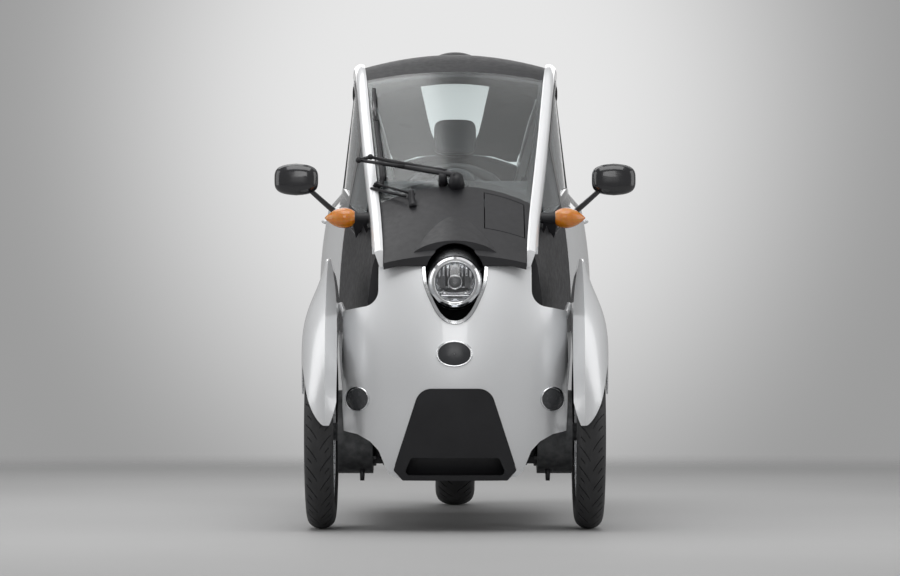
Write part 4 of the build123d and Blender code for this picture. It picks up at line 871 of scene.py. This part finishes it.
def pad_form(name, centre, size, tilt):
    """A closed pad with rounded sides, leaning back by tilt degrees."""
    shape = bmesh.new()
    bmesh.ops.create_cube(shape, size=2.0)
    bmesh.ops.subdivide_edges(shape, edges=shape.edges, cuts=9, use_grid_fill=True)
    lean = Matrix.Rotation(math.radians(tilt), 3, "X")
    for v in shape.verts:
        norm = sum(abs(c) ** PAD_POWER for c in v.co) ** (1 / PAD_POWER)
        local = Vector(c / norm * s / 2 for c, s in zip(v.co, size))
        v.co = Vector(centre) + lean @ local
    return shaded(name, bpy.data.meshes.new(name), shape)


FILL_PRESSURE = 4.0
FILL_FRAMES = 20
FILL_REACH = 0.022


def applied(obj):
    """The object's mesh with its modifiers applied."""
    mesh = bpy.data.meshes.new_from_object(obj.evaluated_get(bpy.context.evaluated_depsgraph_get()))
    obj.modifiers.clear()
    obj.data = mesh


def fill_pad(obj, voxel=0.006):
    """Blows the pad up as foam under cloth does, and keeps each point within reach of where it was."""
    remesh = obj.modifiers.new("voxels", "REMESH")
    remesh.mode = "VOXEL"
    remesh.voxel_size = voxel
    applied(obj)
    start = [v.co.copy() for v in obj.data.vertices]
    cloth = obj.modifiers.new("fill", "CLOTH")
    cloth.settings.use_pressure = True
    cloth.settings.uniform_pressure_force = FILL_PRESSURE
    cloth.settings.effector_weights.gravity = 0.0
    for frame_number in range(1, FILL_FRAMES + 1):
        bpy.context.scene.frame_set(frame_number)
    applied(obj)
    bpy.context.scene.frame_set(1)
    for v, old in zip(obj.data.vertices, start):
        move = v.co - old
        if move.length > FILL_REACH:
            v.co = old + move.normalized() * FILL_REACH
    for polygon in obj.data.polygons:
        polygon.use_smooth = True


def stitch(obj, centre, tilt, channels, depth=0.006, width=0.010):
    """Draws the cloth in along lines. A channel is ('x' or 'y', place), measured in the pad's own plane."""
    lean = Matrix.Rotation(math.radians(-tilt), 3, "X")
    for v in obj.data.vertices:
        local = lean @ (v.co - Vector(centre))
        pull = 0.0
        for axis, place in channels:
            gap = abs((local.x if axis == "x" else local.y) - place)
            pull = max(pull, depth * math.exp(-(gap / width) ** 2))
        v.co -= lean.transposed() @ Vector((0, 0, math.copysign(pull, local.z)))


PADS = [
    # name, centre, size, tilt, channels, CAD node
    ("front_cushion", (0.0, at(0.782), 0.4425), (0.350, 0.330, 0.082), 3,
     [("x", -0.115), ("x", 0.115), ("y", 0.02)], "front_seat"),
    ("front_back", (0.0, at(1.070), 0.800), (0.350, 0.600, 0.076), 77,
     [("x", -0.115), ("x", 0.115), ("y", -0.13), ("y", 0.10)], None),
    ("front_headrest", (0.0, at(1.160), 1.185), (0.132, 0.108, 0.058), 84, [], None),
    ("rear_cushion", (0.0, at(1.262), 0.5200), (0.290, 0.130, 0.074), 3, [("x", 0.0)], "rear_seat"),
    ("rear_back", (0.0, at(1.390), 0.840), (0.290, 0.480, 0.070), 66, [("x", 0.0), ("y", 0.02)], None),
]


def piping(pad, name, centre, size, tilt):
    """The cord sewn round a pad."""
    lean = Matrix.Rotation(math.radians(tilt), 3, "X")
    tree = tree_of(pad.data)
    line = []
    for a in turns(72):
        c, s = math.cos(a), math.sin(a)
        reach = 1.0 / (abs(c) ** PAD_POWER + abs(s) ** PAD_POWER) ** (1 / PAD_POWER)
        flat = Vector((c * reach * size[0] / 2, s * reach * size[1] / 2, size[2] * 0.30))
        line.append(tree.find_nearest(Vector(centre) + lean @ flat)[0])
    finish(tube(f"{name}_piping", line, 0.0022, 8, closed=True), "wheel_rubber")


def seats():
    """The stitched pads of both seats, each with its piping."""
    for name, centre, size, tilt, channels, node in PADS:
        pad = pad_form(name, centre, size, tilt)
        fill_pad(pad)
        stitch(pad, centre, tilt, channels)
        finish(pad, "seat_fabric", "body", *([node] if node else []))
        piping(pad, name, centre, size, tilt)


seats()


# ------------------------------------------------------------------ dark borders of the glass
REAR_PRINT_DEPTH = 0.0058
REAR_BORDER = [
    # height in the front view, outer and inner half-width there
    (84.5, 50.0, 34.5),
    (88.0, 66.0, 34.0),
    (93.0, 77.6, 33.0),
    (99.5, 80.2, 31.5),
    (106.0, 78.5, 30.0),
    (120.0, 73.5, 27.0),
    (134.0, 69.5, 23.5),
    (142.0, 67.5, 20.0),
    (154.0, 64.5, 0.5),
    (158.0, 62.5, 38.0),
    (163.0, 61.2, 53.0),
]


def rear_borders():
    """The dark print inside the rear window, on both sides of its clear middle."""
    for side, name in SIDES:
        rows = [[seen(PHOTO_CENTRE_X + side * row[edge], row[0], "rear_window", -REAR_PRINT_DEPTH)
                 for row in REAR_BORDER] for edge in (1, 2)]
        finish(skin(f"rear_window_border_{name}", rows), "satin_black")


rear_borders()


def edge_of(node, y, low=0.0, high=0.45):
    """How far a pane reaches across at one y."""
    for _ in range(14):
        middle = (low + high) / 2
        if above(middle, y, node) is None:
            high = middle
        else:
            low = middle
    return low


SCREEN_PRINT_DEPTH = 0.0056
SCREEN_FOOT_D = 0.066
SCREEN_HEAD_D = 0.545
SIDE_PRINT_W = 0.011


def screen_border():
    """The dark print round the windscreen: narrow at the sides, wider at the foot and head."""
    rows = []
    for i in range(25):
        y = at(SCREEN_FOOT_D + (SCREEN_HEAD_D - SCREEN_FOOT_D) * i / 24)
        edge = edge_of("windscreen", y) - 0.0015
        rows.append([above(x, y, "windscreen", -SCREEN_PRINT_DEPTH) for x in (edge, edge - SIDE_PRINT_W)])
    for side, name in SIDES:
        mirrored = [[Vector((side * p.x, p.y, p.z)) for p in row] for row in rows]
        finish(skin(f"screen_border_{name}", mirrored), "satin_black")
    for name, d_edge, d_inner in (("foot", 0.0635, 0.092), ("head", 0.5475, 0.5300)):
        strip = []
        for d in (d_edge, (d_edge + d_inner) / 2, d_inner):
            edge = edge_of("windscreen", at(d)) - 0.002
            strip.append([above(edge * (j / 8 - 1), at(d), "windscreen", -SCREEN_PRINT_DEPTH)
                          for j in range(17)])
        finish(skin(f"screen_border_{name}", strip), "satin_black")


screen_border()


# ------------------------------------------------------------------ nose and cowl details
COVER_X = 0.271
COVER_Z = 0.370
COVER_RING = [
    # radius, lift, what it lies on
    (0.0345, 0.0003, "nose_panel"),
    (0.0338, 0.0040, "nose_panel"),
    (0.0324, 0.0060, "nose_panel"),
    (0.0300, 0.0022, "round_lamp_covers"),
    (0.0288, 0.0003, "round_lamp_covers"),
]
COVER_DOME = [(0.0290, 0.0004), (0.0220, 0.0022), (0.0120, 0.0034), (0.0002, 0.0038)]


def cover_loop(side, radius, lift, node):
    """A ring round the cover's middle on the front of a node."""
    centre = (side * COVER_X, COVER_Z)
    return oval(lambda x, z: ahead(x, z, node, lift), centre, (radius, radius), 48)


def cover_rims():
    """The bright ring round each blank round cover, and the cover's domed face."""
    for side, name in SIDES:
        ring = [cover_loop(side, *row) for row in COVER_RING]
        finish(rings(f"cover_ring_{name}", ring), "bright_trim")
        dome = [cover_loop(side, radius, lift, "round_lamp_covers") for radius, lift in COVER_DOME]
        finish(rings(f"cover_dome_{name}", dome), "grey_lens")


cover_rims()


PULL_PLACE = (0.985, 0.905)
PULL_HALF = (0.050, 0.017)
PULL_CUP = [
    # share of its size, lift off the door
    (1.0, 0.0006), (0.94, 0.0012), (0.86, -0.0006), (0.5, -0.0010), (0.02, -0.0012),
]
PULL_LEVER = [
    # back from its middle, lift off the door
    (-0.056, 0.002), (-0.046, 0.010), (-0.020, 0.0135), (0.020, 0.0135), (0.046, 0.010), (0.056, 0.002),
]
LOCK_PROFILE = [(0.0, 0.0085), (0.002, 0.0080), (0.0025, 0.0060), (0.0018, 0.0022), (0.0005, 0.0)]


def pull_ring(side, node, share, lift):
    """A ring on the door at a share of the pull's size."""
    half = [reach * share for reach in PULL_HALF]
    return oval(lambda d, z: beside(side, d, z, node, lift), PULL_PLACE, half, 40)


def door_details():
    """A recessed pull with its lever, and the lock below it, on each door."""
    pull_d = PULL_PLACE[0]
    for side, name in SIDES:
        node = f"door_panel_{name}"
        body = f"door_{name}"
        cup = rings(f"door_pull_cup_{name}", [pull_ring(side, node, *row) for row in PULL_CUP])
        finish(cup, "satin_black", body)
        lever = [beside(side, pull_d + shift, 0.909, node, lift) for shift, lift in PULL_LEVER]
        finish(tube(f"door_pull_{name}", smooth_path(lever, 5), 0.0065, 14, 0.8), "white_paint", body)
        lock_place = beside(side, pull_d, 0.872, node, 0.0002)
        lock = turned(f"door_lock_{name}", LOCK_PROFILE, lock_place, (side, 0, 0.1), 32)
        finish(lock, "bright_trim", body)


door_details()


GAITER_FOLDS = 21
GAITER_PITCH = 0.0042
MOTOR_BOLTS = [
    # back, height
    (-0.062, 0.318), (-0.030, 0.348), (0.030, 0.348), (-0.078, 0.268), (-0.056, 0.205), (0.0, 0.185),
]
MOTOR_BOLT_PROFILE = [(-0.006, 0.0075), (0.0045, 0.0075), (0.006, 0.0055), (0.006, 0.0)]
MOTOR_COVER = [
    # out from the car's middle, radius
    (0.233, 0.060), (0.226, 0.072), (0.216, 0.076), (0.208, 0.070), (0.206, 0.040), (0.205, 0.0),
]
BRAKE_PIPE = [
    # out, back, height
    (0.236, -0.070, 0.330), (0.220, -0.112, 0.352), (0.200, -0.122, 0.330), (0.186, -0.112, 0.300),
]


def suspension_details():
    """The gaiter, the motor's cover and bolts, a drain pin and a brake pipe inside each front wheel."""
    gaiter_profile = [(i * GAITER_PITCH, 0.021 + 0.005 * (i % 2) - 0.0003 * i) for i in range(GAITER_FOLDS)]
    for side, name in SIDES:
        gaiter = turned(f"drive_gaiter_{name}", gaiter_profile, (side * 0.144, at(-0.012), FRONT_WHEEL_Z),
                        (side, 0, 0), 32)
        finish(gaiter, "wheel_rubber")
        bolts = [turned("bolt", MOTOR_BOLT_PROFILE, (side * 0.2290, at(back), z), (-side, 0, 0), 6)
                 for back, z in MOTOR_BOLTS]
        finish(crisp(joined(f"motor_bolts_{name}", bolts)), "cast_alloy")
        cover = turned(f"motor_cover_{name}", [(side * x, radius) for x, radius in MOTOR_COVER],
                       (0.0, at(0.0), FRONT_WHEEL_Z), (1, 0, 0), 48)
        finish(cover, "chassis_black")
        pin = [(side * 0.262, at(-0.05), z) for z in (0.172, 0.138)]
        finish(tube(f"drain_pin_{name}", pin, (0.008, 0.006), 12), "chassis_steel")
        pipe = smooth_path([(side * x, at(back), z) for x, back, z in BRAKE_PIPE], 6)
        finish(tube(f"brake_pipe_{name}", pipe, 0.0042, 10), "wheel_rubber")


suspension_details()


# ------------------------------------------------------------------ cabin and tail details
BINNACLE_LINE = [(0.0, at(0.300), 1.006), (0.0, at(0.345), 1.012), (0.0, at(0.362), 1.010)]
DIAL_PROFILE = [(0.0, 0.0), (0.0, 0.030), (0.003, 0.034), (0.006, 0.036)]
HAND_WHEEL_CENTRE = (at(0.520), 0.905)
HAND_WHEEL_R = 0.165
HAND_WHEEL_LEAN = math.radians(28)


def grip_place(side, degrees):
    """A place on the hand wheel's rim, at an angle up from level."""
    a = math.radians(degrees)
    up = HAND_WHEEL_R * math.sin(a)
    y, z = HAND_WHEEL_CENTRE
    across = side * HAND_WHEEL_R * math.cos(a)
    return (across, y - up * math.sin(HAND_WHEEL_LEAN), z + up * math.cos(HAND_WHEEL_LEAN))


def cabin_details():
    """The binnacle with its blank dial, and the hand wheel's two grips."""
    finish(tube("dash_binnacle", BINNACLE_LINE, (0.052, 0.060), 32, 0.55), "dash_plastic")
    dial = turned("dash_dial", DIAL_PROFILE, (0.0, at(0.3635), 1.010), (0, 1, 0.12), 48)
    finish(dial, "grey_lens")
    for side, name in SIDES:
        grip = [grip_place(side, -35 + 70 * i / 12) for i in range(13)]
        finish(tube(f"wheel_grip_{name}", grip, 0.0158, 20), "wheel_rubber", "hand_wheel")


cabin_details()


TAIL_Y = 1.1742


def tail_details():
    """Ribs in the tail lamps and a latch handle on the tail panel."""
    for side, name in SIDES:
        lines = [[(side * x, TAIL_Y, 0.668 + 0.0235 * i) for x in (0.096, 0.132)] for i in range(5)]
        ribs = [tube("rib", line, 0.0009, 6) for line in lines]
        finish(joined(f"tail_lamp_ribs_{name}", ribs), "red_lens")
    latch = [(-0.045, 1.1735, 0.700), (0.0, 1.1735, 0.702), (0.045, 1.1735, 0.700)]
    finish(tube("tail_latch", latch, 0.0014, 10), "satin_grey")


tail_details()


# ------------------------------------------------------------------ camera
def make_camera():
    """A long lens ahead of the car, turned so that the horizon and the car's middle keep their places."""
    camera = linked("camera", bpy.data.cameras.new("camera"))
    camera.data.sensor_width = 36.0
    camera.data.lens = PHOTO_FOCAL * camera.data.sensor_width / PHOTO_SIZE[0]
    camera.data.clip_end = 100.0
    pitch = math.atan((PHOTO_HORIZON_Y - PHOTO_SIZE[1] / 2) / PHOTO_FOCAL)
    turn = math.atan((PHOTO_CENTRE_X - PHOTO_SIZE[0] / 2) / PHOTO_FOCAL)
    camera.location = CAMERA_PLACE
    camera.rotation_euler = (math.radians(90) + pitch, 0.0, turn)
    bpy.context.scene.camera = camera


# ------------------------------------------------------------------ studio
FLOOR_RADIUS = 30.0
FLOOR_CLEAR_START = 3.4
FLOOR_CLEAR_END = 7.6


def floor_material():
    """A pale matt floor that melts into the backdrop far from the object."""
    g = Graph("studio_floor", (0.60, 0.60, 0.60), 0.7)
    g.colour(g.spread(g.noise(0.6)), (0.42, 0.42, 0.42), (0.45, 0.45, 0.45))
    far = g.spread(g.length(g.place), 0.0, 1.0, FLOOR_CLEAR_START, FLOOR_CLEAR_END, "SMOOTHSTEP")
    mix = g.node("ShaderNodeMixShader")
    g.links.new(g.calc("MULTIPLY", far, g.shown()), mix.inputs["Fac"])
    g.links.new(g.shader.outputs["BSDF"], mix.inputs[1])
    g.links.new(g.node("ShaderNodeBsdfTransparent").outputs["BSDF"], mix.inputs[2])
    g.links.new(mix.outputs["Shader"], g.nodes["Material Output"].inputs["Surface"])
    return g.material


def make_stage():
    ring = [(FLOOR_RADIUS * math.cos(a), FLOOR_RADIUS * math.sin(a), 0.0)
            for a in (math.radians(step) for step in range(0, 360, 10))]
    floor = make_mesh("studio_floor", ring, [tuple(range(len(ring)))])
    floor.data.materials.append(floor_material())


BACKDROP_LIGHT = 0.80
BACKDROP_DARK = 0.33
WORLD_LIGHT = 0.32


BACKDROP_REACH = (0.02, 0.150)
BACKDROP_STRETCH = (1.0, 0.0, 0.9)
BACKDROP_SHIFT = (0.0, 0.0, -0.0675)


def make_world():
    """A backdrop that is light behind the object and greyer to the sides, and an even light elsewhere."""
    world = bpy.data.worlds.new("studio_world")
    tree = Tree(world)
    squeeze = tree.node("ShaderNodeVectorMath", operation="MULTIPLY_ADD")
    squeeze.inputs[1].default_value = BACKDROP_STRETCH
    squeeze.inputs[2].default_value = BACKDROP_SHIFT
    tree.links.new(tree.node("ShaderNodeTexCoord").outputs["Generated"], squeeze.inputs[0])
    off_centre = tree.length(squeeze.outputs["Vector"])
    backdrop = tree.spread(off_centre, BACKDROP_LIGHT, BACKDROP_DARK, *BACKDROP_REACH, "SMOOTHERSTEP")
    strength = tree.blend(tree.shown(), WORLD_LIGHT, backdrop, "FLOAT")
    background = tree.nodes["Background"]
    tree.feed(background.inputs["Color"], (1.0, 1.0, 1.0))
    tree.feed(background.inputs["Strength"], strength)
    bpy.context.scene.world = world


def softbox(name, place, aim, size, power):
    lamp = linked(name, bpy.data.lights.new(name, "AREA"))
    lamp.data.shape = "RECTANGLE"
    lamp.data.size, lamp.data.size_y = size
    lamp.data.energy = power
    lamp.location = place
    lamp.rotation_euler = (Vector(aim) - Vector(place)).to_track_quat("-Z", "Y").to_euler()


SOFTBOXES = [
    # name, place, aim, size, power
    ("top_box", (0.0, -2.1, 4.0), (0.0, -1.2, 0.6), (2.6, 3.0), 64.0),
    ("sky_left", (-1.7, 1.0, 4.0), (-1.7, 1.0, 0.0), (3.0, 2.8), 46.0),
    ("sky_right", (1.7, 1.0, 4.0), (1.7, 1.0, 0.0), (3.0, 2.8), 16.0),
    ("front_box", (0.0, -6.5, 2.7), (0.0, -1.0, 0.5), (1.6, 2.2), 30.0),
    ("left_box", (-3.6, -1.4, 1.6), (0.0, -0.6, 0.7), (2.4, 3.2), 34.0),
    ("right_box", (3.6, -1.4, 1.6), (0.0, -0.6, 0.7), (2.4, 3.2), 34.0),
    ("rear_box", (0.0, 4.2, 2.6), (0.0, 0.6, 0.9), (4.0, 1.6), 30.0),
]


make_camera()
make_stage()
make_world()
for box in SOFTBOXES:
    softbox(*box)
bpy.context.scene.view_settings.view_transform = "Standard"
